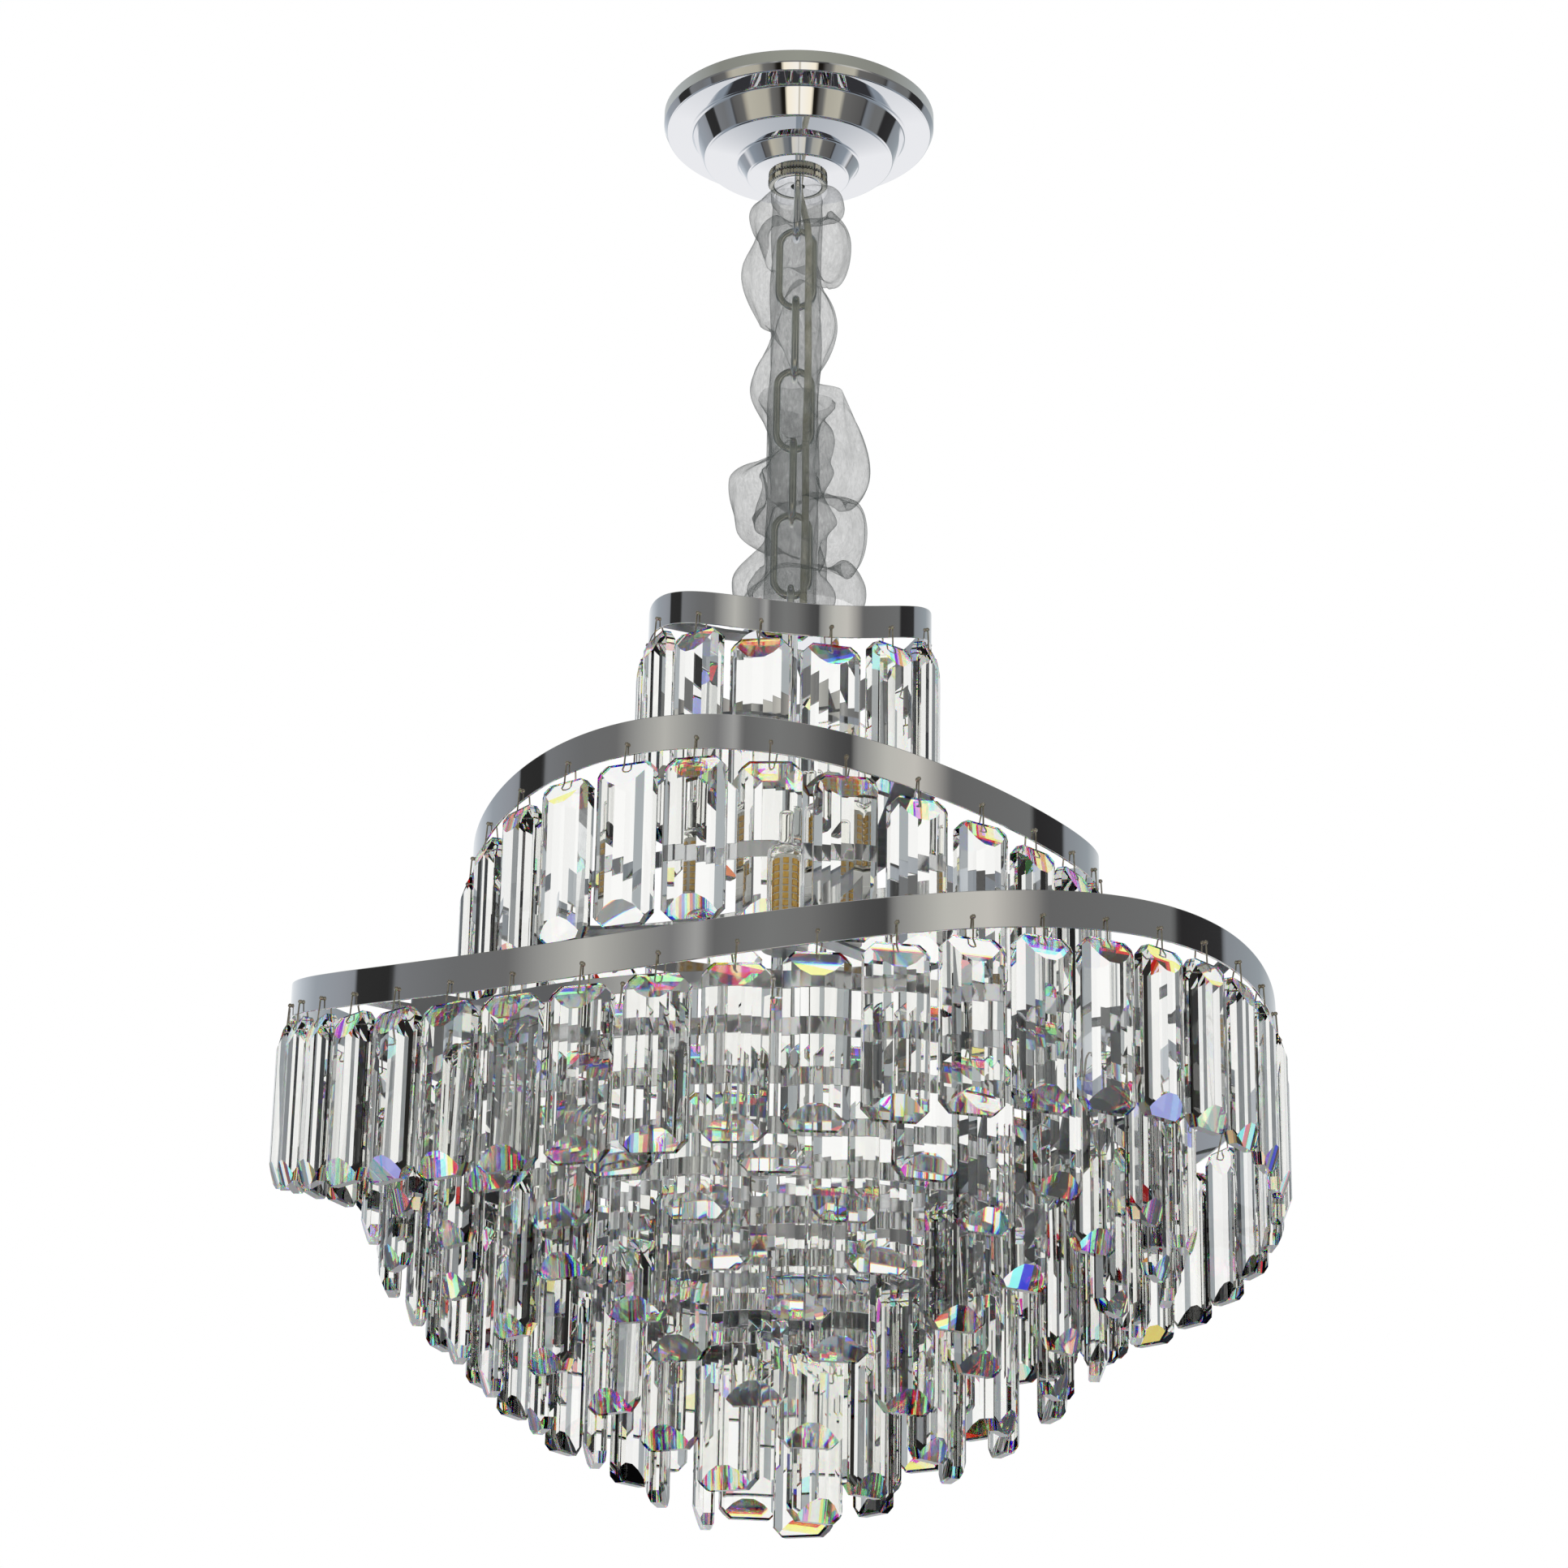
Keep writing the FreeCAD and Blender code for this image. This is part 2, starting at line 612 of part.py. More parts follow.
# ---- Fixed to the ceiling
pieces.append(ceiling_strap())
pieces.append(turned("threaded_tube", (
    ("tube_bore", "0"), ("tube_radius", "0"), ("tube_radius", "-tube_length"),
    ("tube_bore", "-tube_length"))))
pieces.append(hexagon_nut("strap_nut", "-strap_thick"))
pieces.append(primitive("Box", "terminal_block", Length="block_width", Width="block_length",
                        Height="block_height", Placement__Base__x="-block_reach - block_width / 2",
                        Placement__Base__y="-block_length / 2",
                        Placement__Base__z="-strap_thick - block_height"))
collar = turned("collar", (("tube_radius + thread_gap", "-collar_top"), ("collar_radius", "-collar_top"),
                           ("collar_radius", "-collar_drop"), ("tube_bore", "-collar_drop"),
                           ("tube_bore", "-tube_length"), ("tube_radius + thread_gap", "-tube_length")))
first_link_top = "-collar_drop - 25"
collar_bow = first_link_top + " - wire - loop_wire / 2 - link_seat"
collar_loop = boolean("MultiFuse", "collar_loop", collar,
                      half_loop("collar_loop", collar_bow, "-collar_drop + 1", True))
collar_loop.Placement.Rotation = Rotation(UP, 90)
pieces.append(collar_loop)

# ---- Canopy: a spun sheet cup in three steps, with a hole for the collar
canopy = turned("canopy", (
    ("canopy_radius", "0"), ("canopy_radius", "-canopy_lip"), ("step_radius", "-canopy_lip"),
    ("step_radius", "-step_drop"), ("neck_radius", "-step_drop"), ("neck_radius", "-canopy_depth"),
    ("collar_radius + collar_gap", "-canopy_depth"),
    ("collar_radius + collar_gap", "-canopy_depth + canopy_sheet"),
    ("neck_radius - canopy_sheet", "-canopy_depth + canopy_sheet"),
    ("neck_radius - canopy_sheet", "-step_drop + canopy_sheet"),
    ("step_radius - canopy_sheet", "-step_drop + canopy_sheet"),
    ("step_radius - canopy_sheet", "-canopy_lip + canopy_sheet"),
    ("canopy_radius - canopy_sheet", "-canopy_lip + canopy_sheet"), ("canopy_radius - canopy_sheet", "0")))
doc.recompute()


def edge_names(shape, radius, height):
    names = []
    for number, edge in enumerate(shape.Edges, 1):
        curve = edge.Curve
        if not isinstance(curve, Part.Circle):
            continue
        if abs(curve.Radius - radius) < 0.01 and abs(curve.Center.z - height) < 0.01:
            names.append("Edge%d" % number)
    return names


rounded = canopy.newObject("PartDesign::Chamfer", "canopy_rounding")
turning = canopy.getObject("canopy_turning")
outer_corners = [(size("canopy_radius"), -size("canopy_lip")), (size("step_radius"), -size("step_drop")),
                 (size("neck_radius"), -size("canopy_depth"))]
rounded.Base = (turning, [name for radius, height in outer_corners
                          for name in edge_names(turning.Shape, radius, height)])
bind(rounded, Size="canopy_round")
canopy.Tip = rounded
pieces.append(canopy)

# ---- Lock ring under the canopy, with a groove between two knurled rims
pieces.append(turned("lock_ring", (
    ("collar_radius + thread_gap", "0"), ("ring_radius", "0"), ("ring_radius", "-ring_height / 2 + 0.8"),
    ("ring_radius - ring_groove", "-ring_height / 2"), ("ring_radius", "-ring_height / 2 - 0.8"),
    ("ring_radius", "-ring_height"), ("collar_radius + thread_gap", "-ring_height")),
    Placement__Base__z="-canopy_depth - link_seat"))

# ---- Chain: five oval links, each turned a quarter turn from the last
for number in range(1, 6):
    steps = "%d * (link_pitch - link_seat * 2)" % (number - 1)
    middle = first_link_top + " - wire - link_pitch / 2 - " + steps
    piece = link("chain_link_%d" % number, "link_width", "wire", "link_pitch", Placement__Base__z=middle)
    if number % 2 == 0:
        piece.Placement.Rotation = Rotation(UP, 90)
    pieces.append(piece)
pieces.append(modelled("supply_cable", cable()))
pieces.append(modelled("sleeve", sleeve()))

# ---- Hub, stem and collars
hub_bow = first_link_top + " - wire - 5 * link_pitch + 8 * link_seat + loop_wire / 2 + link_seat"
hub_parts = half_loop("hub_loop", hub_bow, "-hub_drop - 1", False)
hub_loop = boolean("MultiFuse", "hub_loop", hub_parts[0], hub_parts[1:])
hub_loop.Placement.Rotation = Rotation(UP, 90)
pieces.append(hub_loop)
hub_foot = "-hub_boss_height - hub_plate_height"
pieces.append(turned("hub_plate", (
    ("0", "0"), ("hub_boss_radius", "0"), ("hub_boss_radius", "-hub_boss_height"),
    ("hub_radius", "-hub_boss_height"), ("hub_radius", hub_foot), ("0", hub_foot)),
    Placement__Base__z="-hub_drop"))
stem_top = "-hub_drop" + hub_foot
stem_foot = "-hoop_9_drop - rib_depth / 2"
pieces.append(turned("stem", (
    ("0", stem_top), ("stem_radius", stem_top), ("stem_radius", stem_foot), ("0", stem_foot))))
pieces.append(turned("arm_collar", (
    ("stem_radius + stem_gap", "0"), ("arm_collar_radius", "0"), ("arm_collar_radius", "-arm_collar_height"),
    ("stem_radius + stem_gap", "-arm_collar_height")), Placement__Base__z="-arm_collar_drop"))
pieces.append(turned("rib_collar", (
    ("stem_radius + stem_gap", "rib_depth"), ("rib_collar_radius", "rib_depth"), ("rib_collar_radius", "0"),
    ("stem_radius + stem_gap", "0")), Placement__Base__z="-hoop_9_drop"))
pieces.append(turned("end_nut", (
    ("stem_radius + stem_gap", "0"), ("end_nut_radius", "0"), ("end_nut_radius", "-end_nut_height * 0.6"),
    ("end_nut_radius * 0.6", "-end_nut_height"), ("0", "-end_nut_height"),
    ("0", "-rib_depth / 2 - thread_gap"), ("stem_radius + stem_gap", "-rib_depth / 2 - thread_gap")),
    Placement__Base__z="-hoop_9_drop"))

# ---- Arms and ribs
weld = size("arm_thick") / 2
hub_side = (size("hub_radius") - weld,
            -size("hub_drop") - size("hub_boss_height") - size("hub_plate_height") / 2)
collar_side = (size("arm_collar_radius") - weld, -size("arm_collar_drop"))
rib_side = (rib_outer_end()[0], rib_outer_end()[1] + size("rib_depth") / 2)
hub_end = size("hub_radius") + size("hub_arm_level")
lamp_end = size("plain_hoop_radius") + size("lamp_arm_level")
rib_end = rib_side[0] + size("rib_arm_level")
pieces.append(modelled("ring_1_arms", arms_to_band(1, 3, 45, hub_side, hub_end)))
pieces.append(modelled("ring_2_arms", arms_to_band(
    2, int(size("top_lamp_count")), size("lamp_arm_first"), collar_side, lamp_end)))
pieces.append(modelled("ring_3_arms", arms_to_band(
    3, int(size("rib_count")), size("rib_first"), rib_side, rib_end)))
pieces.append(modelled("ribs", rib_plates()))
pieces.append(flat_hoop("plain_hoop", "plain_hoop_radius", "arm_collar_drop - hoop_height"))

# ---- Bands, crystals and hooks
for band in BANDS:
    pieces.append(modelled("wavy_band_%d" % band, wavy_band(band)))
for number in range(1, HOOP_COUNT + 1):
    drop = "hoop_%d_drop" % number
    pieces.append(flat_hoop("lower_band_%d" % number, "hoop_%d_radius" % number, drop))
one_crystal = crystal()
all_hooks = []
for band in BANDS:
    crystals, hooks = hang_round(
        "band_%d_" % band, lambda angle: wave_height(band, angle) - size("band_height"),
        size("band_wall"), size("hook_hole"), one_crystal)
    pieces.append(modelled("ring_crystals_%d" % band, Part.makeCompound(crystals)))
    all_hooks += hooks
for number in range(1, HOOP_COUNT + 1):
    crystals, hooks = hang_round(
        "hoop_%d_" % number, lambda angle: hoop_edge(number)[1] - size("hoop_height"),
        size("hoop_wall"), size("hoop_hook_hole"), one_crystal)
    pieces.append(modelled("lower_crystals_%d" % number, Part.makeCompound(crystals)))
    all_hooks += hooks
pieces.append(modelled("crystal_hooks", Part.makeCompound(all_hooks)))

# ---- Lamp holders and bulbs, their round walls drawn with twelve and eight flats
def flats(name, count, radius, height, foot):
    wall = doc.addObject("Part::Prism", name)
    wall.Polygon = count
    return bind(wall, Circumradius=radius, Height=height, Placement__Base__z=foot)


holder_wall = flats("holder_wall", 12, "holder_radius", "holder_height", "0")
holder_bore = flats("holder_bore", 12, "bulb_cap_radius + bulb_gap", "holder_height", "holder_floor")
holder = boolean("Cut", "one_holder", holder_wall, [holder_bore])
cap_height = "holder_height - holder_floor + 1"
cap = flats("bulb_cap", 12, "bulb_cap_radius", cap_height, "0")
lamp = flats("bulb_lamp", 8, "bulb_radius", "bulb_length - (%s)" % cap_height, cap_height)
bulb = boolean("MultiFuse", "one_bulb", cap, [lamp])
doc.recompute()
holders = []
for place in lamp_places():
    holders.append(holder.Shape.copy())
    holders[-1].Placement = Placement(place, Rotation())
pieces.append(modelled("lamp_holders", Part.makeCompound(holders)))
for number, place in enumerate(lamp_places(), 1):
    piece = modelled("bulb_%d" % number, bulb.Shape.copy())
    piece.Placement = Placement(place + UP * (size("holder_floor") + size("bulb_gap")), Rotation())
    pieces.append(piece)


# ---- Check and write
doc.recompute()
for thing in doc.Objects:
    if "Invalid" in thing.State or "Error" in thing.State:
        raise SystemExit("failed object: " + thing.Name)
for piece in pieces:
    piece.Label = piece.Name
    if piece.Shape.isNull() or not piece.Shape.isValid() or not piece.Shape.Solids:
        raise SystemExit("bad shape: " + piece.Name)
os.makedirs("parts", exist_ok=True)
for piece in pieces:
    piece.Shape.exportStep("parts/%s.step" % piece.Label)
print("%d pieces written" % len(pieces))
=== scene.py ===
import math
import random
import bmesh
import bpy
from mathutils import Matrix, Vector


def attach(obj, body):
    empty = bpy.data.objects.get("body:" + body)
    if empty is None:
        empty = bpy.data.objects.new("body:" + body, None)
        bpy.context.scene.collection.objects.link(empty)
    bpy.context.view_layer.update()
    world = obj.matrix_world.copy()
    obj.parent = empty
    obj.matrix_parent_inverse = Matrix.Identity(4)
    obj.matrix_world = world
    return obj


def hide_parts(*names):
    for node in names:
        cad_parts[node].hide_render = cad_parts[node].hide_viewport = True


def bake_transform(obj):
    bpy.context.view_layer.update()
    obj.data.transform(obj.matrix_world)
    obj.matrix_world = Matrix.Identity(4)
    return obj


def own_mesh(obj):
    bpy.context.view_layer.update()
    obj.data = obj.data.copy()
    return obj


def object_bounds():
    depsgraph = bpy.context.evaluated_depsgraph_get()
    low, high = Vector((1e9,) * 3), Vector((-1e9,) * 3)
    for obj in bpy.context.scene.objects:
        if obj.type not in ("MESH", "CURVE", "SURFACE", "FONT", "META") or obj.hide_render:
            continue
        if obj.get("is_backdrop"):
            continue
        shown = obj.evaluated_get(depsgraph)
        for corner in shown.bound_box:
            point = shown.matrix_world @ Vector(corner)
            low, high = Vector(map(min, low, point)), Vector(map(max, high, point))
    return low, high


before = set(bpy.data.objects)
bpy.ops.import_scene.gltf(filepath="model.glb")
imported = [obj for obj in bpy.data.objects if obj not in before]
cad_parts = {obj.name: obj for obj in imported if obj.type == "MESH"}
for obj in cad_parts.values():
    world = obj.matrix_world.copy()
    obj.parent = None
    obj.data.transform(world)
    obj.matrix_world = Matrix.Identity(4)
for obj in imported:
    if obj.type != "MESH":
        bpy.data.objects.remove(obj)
cad_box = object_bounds()
MM = 0.001


# ---- The view. The lamp hangs with its ceiling face at height 0, and is seen from below the
# large hoop with a long lens, a little over 1.7 m away.
camera_data = bpy.data.cameras.new("view")
camera_data.lens = 83.37
camera_data.sensor_width = 36
camera = bpy.data.objects.new("view", camera_data)
camera.rotation_euler = (Matrix.Rotation(math.radians(0.056), 3, "Z")
                         @ Matrix.Rotation(math.radians(90 + 18.615), 3, "X")
                         @ Matrix.Rotation(math.radians(1.023), 3, "Z")).to_euler()
camera.location = (0, -1.7291, -0.9587)
bpy.context.scene.collection.objects.link(camera)
bpy.context.scene.camera = camera
bpy.context.scene.view_settings.view_transform = "Standard"


# ---- The studio: a pale floor on plain white. Polished metal mirrors a room in front of the lamp instead, with
# grey walls, windows and dark gaps, and glass shows a backdrop with flags and reflectors beside it.
def colour(code):
    """An sRGB hex code as linear red, green, blue and alpha."""
    parts = [int(code[i:i + 2], 16) / 255 for i in (1, 3, 5)]
    return tuple(p / 12.92 if p <= 0.04045 else ((p + 0.055) / 1.055) ** 2.4 for p in parts) + (1,)


def add_node(tree, kind, inputs=None, **settings):
    """A node with its settings. Each input takes a plain value, or a socket that is linked to it."""
    node = tree.nodes.new(kind)
    for name, value in settings.items():
        setattr(node, name, value)
    for socket, value in (inputs or {}).items():
        if isinstance(value, bpy.types.NodeSocket):
            tree.links.new(value, node.inputs[socket])
        else:
            node.inputs[socket].default_value = value
    return node


def ramp_node(tree, fac, stops, mode="LINEAR"):
    """A colour ramp of (place, hex colour) stops."""
    node = add_node(tree, "ShaderNodeValToRGB", {0: fac})
    node.color_ramp.interpolation = mode
    elements = node.color_ramp.elements
    while len(elements) < len(stops):
        elements.new(0.5)
    for element, (place, code) in zip(elements, stops):
        element.position = place
        element.color = colour(code)
    return node.outputs["Color"]


def ranged(tree, value, low, high, start=0.0, end=1.0):
    """A socket that goes from low to high while the value goes from start to end."""
    return add_node(tree, "ShaderNodeMapRange", {
        "Value": value, "From Min": start, "From Max": end, "To Min": low, "To Max": high}).outputs[0]


def mixed(tree, share, first, second):
    """A colour socket between two colours."""
    return add_node(tree, "ShaderNodeMix", {0: share, 6: first, 7: second}, data_type="RGBA").outputs[2]


def noise(tree, grain, detail=2.0):
    """A noise socket in the object's own space, its grain in metres."""
    place = add_node(tree, "ShaderNodeTexCoord").outputs["Object"]
    return add_node(tree, "ShaderNodeTexNoise", {"Vector": place, "Scale": 1 / grain, "Detail": detail}).outputs[0]


def studio_world():
    """The surroundings: white to the camera, a room to polished metal and a backdrop to glass."""
    world = bpy.data.worlds.new("studio")
    world.use_nodes = True
    tree = world.node_tree
    tree.nodes.clear()
    way = add_node(tree, "ShaderNodeSeparateXYZ",
                   {0: add_node(tree, "ShaderNodeTexCoord").outputs["Generated"]})
    height = way.outputs["Z"]
    ahead = add_node(tree, "ShaderNodeMath", {0: way.outputs["Y"], 1: -1.0}, operation="MULTIPLY")
    turn = add_node(tree, "ShaderNodeMath", {0: way.outputs["X"], 1: ahead.outputs[0]}, operation="ARCTAN2")
    # The room in front goes from 0 at its left end, by 0.5 at the camera, to 1 at its right end
    room_turn = ranged(tree, turn.outputs[0], 0.0, 1.0, -math.pi, math.pi)
    ceiling = ramp_node(tree, height, CEILING)
    room = ramp_node(tree, room_turn, ROOM_WALLS)
    for start, end, zone in (
            (0.405, 0.42, ramp_node(tree, room_turn, ROOM_UPPER)), (0.54, 0.58, ceiling),
            (-0.10, -0.16, ramp_node(tree, room_turn, ROOM_WINDOWS)),
            (-0.50, -0.68, colour("#8d96a0")), (-0.76, -0.80, colour("#37373a"))):
        room = mixed(tree, ranged(tree, height, 0.0, 1.0, start, end), room, zone)
    # Through glass: the backdrop is widest straight behind, with flags and reflectors to each side of it
    side = add_node(tree, "ShaderNodeMath", {0: turn.outputs[0]}, operation="ABSOLUTE")
    side = add_node(tree, "ShaderNodeMath", {0: side.outputs[0], 1: math.pi}, operation="DIVIDE")
    behind = ramp_node(tree, side.outputs[0], BACKDROP, "CONSTANT")
    behind = mixed(tree, ranged(tree, height, 0.0, 1.0, 0.62, 0.66), behind, ceiling)
    behind = mixed(tree, ranged(tree, height, 0.0, 1.0, -0.25, -0.3), behind, colour("#dfe2e0"))
    light = add_node(tree, "ShaderNodeLightPath")
    seen = mixed(tree, light.outputs["Is Glossy Ray"], colour("#e0e1e2"), room)
    seen = mixed(tree, light.outputs["Is Transmission Ray"], seen, behind)
    seen = mixed(tree, light.outputs["Is Camera Ray"], seen, (1.0, 1.0, 1.0, 1.0))
    sky = add_node(tree, "ShaderNodeBackground", {"Color": seen, "Strength": 1.0})
    add_node(tree, "ShaderNodeOutputWorld", {"Surface": sky.outputs[0]})
    return world


# What polished metal mirrors at eye height: grey walls, two dark gaps, soft panels and the white backdrop
ROOM_WALLS = (
    (0.0, "#f4f6f8"), (0.04, "#e4e8ec"), (0.085, "#bcc3cb"), (0.12, "#9ca3ab"), (0.165, "#9599a0"),
    (0.18, "#8d9197"), (0.183, "#303030"), (0.222, "#2d2d2d"), (0.227, "#7a7c7f"), (0.28, "#6f7071"),
    (0.32, "#6f6f6f"), (0.345, "#9b9b98"), (0.375, "#bcbbb5"), (0.41, "#939390"), (0.43, "#7e7e7e"),
    (0.447, "#a8a8a6"), (0.455, "#696969"), (0.49, "#7b7c7b"), (0.515, "#757574"), (0.545, "#525252"),
    (0.563, "#484848"), (0.568, "#8c8c8a"), (0.6, "#c2c1ba"), (0.63, "#cac7c0"), (0.655, "#9b9995"),
    (0.67, "#696969"), (0.775, "#727373"), (0.782, "#2c2b2c"), (0.832, "#323233"), (0.838, "#8a8f95"),
    (0.9, "#98a0a6"), (1.0, "#eceff1"))
# Above it the ceiling and a plain wall, and below it, out in front, three lit windows in a dark wall
CEILING = ((0.0, "#8b8a82"), (0.72, "#76766f"), (0.9, "#55565a"), (1.0, "#d8d8d6"))
ROOM_UPPER = (
    (0.0, "#c9cdcf"), (0.17, "#aeb2b0"), (0.3, "#8b8c84"), (0.5, "#999a8f"), (0.7, "#8b8c84"),
    (0.83, "#a4a8a6"), (1.0, "#c9cdcf"))
ROOM_WINDOWS = (
    (0.0, "#f4f4f6"), (0.17, "#f0f0f2"), (0.215, "#8d96a0"), (0.285, "#7d838b"), (0.29, "#2c2c2e"),
    (0.295, "#5d5c5b"), (0.325, "#6a6967"), (0.335, "#a8a294"), (0.345, "#bdb8a8"), (0.405, "#b3ae9f"),
    (0.417, "#6f6e6b"), (0.44, "#5d5b58"), (0.447, "#1d1a16"), (0.459, "#1d1a16"), (0.462, "#fff4dc"),
    (0.497, "#fffaf0"), (0.5, "#b8af9c"), (0.503, "#fffaf0"), (0.538, "#fff4dc"), (0.541, "#1d1a16"),
    (0.553, "#1d1a16"), (0.56, "#5d5b58"), (0.572, "#6f6e6b"), (0.582, "#b3ae9f"), (0.625, "#bdb8a8"),
    (0.637, "#6a6967"), (0.7, "#5a5958"), (0.708, "#2c2c2e"), (0.713, "#7d838b"), (0.785, "#8d96a0"),
    (0.83, "#f0f0f2"), (1.0, "#f4f4f6"))
# What glass shows of the studio, from the camera at 0 to straight behind the lamp at 1
BACKDROP = (
    (0.0, "#b4b4b2"), (0.04, "#4a4a4a"), (0.09, "#f4f4f2"), (0.16, "#8a8b8c"), (0.19, "#f2f3f4"),
    (0.28, "#3a3c3f"), (0.33, "#b5b8ba"), (0.4, "#f8f9fa"), (0.45, "#1c1d1e"), (0.5, "#a9adb1"),
    (0.545, "#fafafa"), (0.6, "#8d9194"), (0.64, "#f6f7f8"), (0.685, "#161718"), (0.71, "#85898d"),
    (0.75, "#ffffff"), (0.79, "#3c3f42"), (0.815, "#9aa0a5"), (0.84, "#ffffff"), (0.885, "#aab0b4"),
    (0.91, "#ffffff"))

bpy.context.scene.world = studio_world()


def new_material(name):
    """An empty material, with its node tree and output."""
    material = bpy.data.materials.new(name)
    material.use_nodes = True
    material.node_tree.nodes.clear()
    return material, material.node_tree, add_node(material.node_tree, "ShaderNodeOutputMaterial")


def finish_material(tree, output, shader):
    """Links the shader to the material's surface."""
    tree.links.new(shader.outputs[0], output.inputs["Surface"])


def make_piece(name, corners, faces, material, crease=None):
    """A mesh object. With a crease angle in degrees it is shaded smooth between sharper edges."""
    mesh = bpy.data.meshes.new(name)
    mesh.from_pydata([tuple(corner) for corner in corners], [], faces)
    mesh.update()
    if crease is not None:
        mesh.shade_smooth()
        mesh.set_sharp_from_angle(angle=math.radians(crease))
    mesh.materials.append(material)
    piece = bpy.data.objects.new(name, mesh)
    bpy.context.scene.collection.objects.link(piece)
    return piece


def floor_paint():
    """Matt studio paper, which looks white wherever it is looked at, and keeps a soft shadow."""
    material, tree, output = new_material("studio_paper")
    paper = add_node(tree, "ShaderNodeBsdfPrincipled", {"Base Color": colour("#f4f4f3"), "Roughness": 0.9})
    finish_material(tree, output, paper)
    return material


FLOOR_DROP = 1.6
FLOOR_HALF = 6.0
floor_corners = [(x * FLOOR_HALF, y * FLOOR_HALF, -FLOOR_DROP) for x, y in ((-1, -1), (1, -1), (1, 1), (-1, 1))]
floor = make_piece("studio_floor", floor_corners, [(0, 1, 2, 3)], floor_paint())
floor.visible_glossy = False
floor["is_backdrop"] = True

# Soft boxes, which all face the lamp's middle: name, place, size in metres, watts
LIT_SPOT = Vector((0, 0, -0.45))
for name, place, width, watts in (
        ("key", (-1.4, -1.8, 0.5), 1.2, 14),
        ("fill", (1.7, -1.1, -0.2), 0.9, 6),
        ("rear", (0.8, 1.8, -0.1), 0.9, 6)):
    lamp_data = bpy.data.lights.new(name, "AREA")
    lamp_data.size = width
    lamp_data.energy = watts
    lamp = bpy.data.objects.new(name, lamp_data)
    lamp.visible_glossy = False
    lamp.visible_transmission = False
    lamp.location = place
    lamp.rotation_euler = (LIT_SPOT - Vector(place)).to_track_quat("-Z", "Y").to_euler()
    bpy.context.scene.collection.objects.link(lamp)


# ---- Ceiling strap, threaded tube and nut: pressed and rolled steel, zinc plated. The plate is pale and
# dull, with a faint spangle, and all of it is hidden by the canopy.
def zinc_plate():
    """Pale zinc with a faint spangle."""
    material, tree, output = new_material("zinc_plated_steel")
    spangle = noise(tree, 1.5 * MM, 4.0)
    tone = ramp_node(tree, spangle, ((0.3, "#9fa09d"), (0.7, "#c3c2ba")))
    plate = add_node(tree, "ShaderNodeBsdfPrincipled", {
        "Base Color": tone, "Metallic": 1.0, "Roughness": ranged(tree, spangle, 0.3, 0.5)})
    finish_material(tree, output, plate)
    return material


def repaint(node, material):
    """Gives a CAD node a finer material in all of its slots."""
    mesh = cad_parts[node].data
    if not mesh.materials:
        mesh.materials.append(material)
    for number in range(len(mesh.materials)):
        mesh.materials[number] = material


zinc = zinc_plate()
for node in ("mounting_strap", "threaded_tube", "strap_nut"):
    repaint(node, zinc)


# ---- Wiring block: moulded nylon, white and slightly waxy, with a fine moulded grain.
def moulded(name, code, rough, grain):
    """A moulded plastic of a hex colour, with a grain of the given size in metres."""
    material, tree, output = new_material(name)
    bumps = noise(tree, grain, 3.0)
    relief = add_node(tree, "ShaderNodeBump", {"Height": bumps, "Strength": 0.15, "Distance": 0.1 * MM})
    haze = ranged(tree, bumps, rough - 0.06, rough + 0.06)
    plastic = add_node(tree, "ShaderNodeBsdfPrincipled", {
        "Base Color": colour(code), "Roughness": haze, "IOR": 1.5, "Normal": relief.outputs[0]})
    finish_material(tree, output, plastic)
    return material


repaint("terminal_block", moulded("nylon_66", "#e4e3dc", 0.45, 0.6 * MM))


# ---- Canopy: steel sheet spun in three leaning steps, its corners rolled round, then polished and chrome
# plated. Its flats, which lean a little, mirror the bright side behind it, and its walls the windows in front.
def chrome(name, code, rough):
    """Polished plate with the faint unevenness of buffing."""
    material, tree, output = new_material(name)
    buffing = noise(tree, 30 * MM, 1.0)
    relief = add_node(tree, "ShaderNodeBump", {"Height": buffing, "Strength": 0.02, "Distance": 0.2 * MM})
    haze = ranged(tree, buffing, rough * 0.5, rough * 1.5)
    plate = add_node(tree, "ShaderNodeBsdfPrincipled", {
        "Base Color": colour(code), "Metallic": 1.0, "Roughness": haze, "Normal": relief.outputs[0]})
    finish_material(tree, output, plate)
    return material


def rounded(outline, steps):
    """A closed outline of (out, up, radius) corners, with each corner drawn as an arc of that radius. A short
    straight run beside each arc keeps the flats between arcs flat when they are shaded smooth."""
    points = []
    count = len(outline)
    for i in range(count):
        here = Vector(outline[i][:2])
        back = Vector(outline[i - 1][:2]) - here
        ahead = Vector(outline[(i + 1) % count][:2]) - here
        radius = outline[i][2]
        if radius == 0:
            points.append(here)
            continue
        half = back.angle(ahead) / 2
        reach = min(radius / math.tan(half), 0.49 * back.length, 0.49 * ahead.length)
        radius = reach * math.tan(half)
        start = here + back.normalized() * reach
        end = here + ahead.normalized() * reach
        centre = here + (back.normalized() + ahead.normalized()).normalized() * (radius / math.sin(half))
        sweep = (start - centre).angle_signed(end - centre)
        run = min(0.06, 0.1 * reach)
        points.append(start + back.normalized() * run)
        for step in range(steps + 1):
            spoke = start - centre
            spoke.rotate(Matrix.Rotation(-sweep * step / steps, 2))
            points.append(centre + spoke)
        points.append(end + ahead.normalized() * run)
    return points


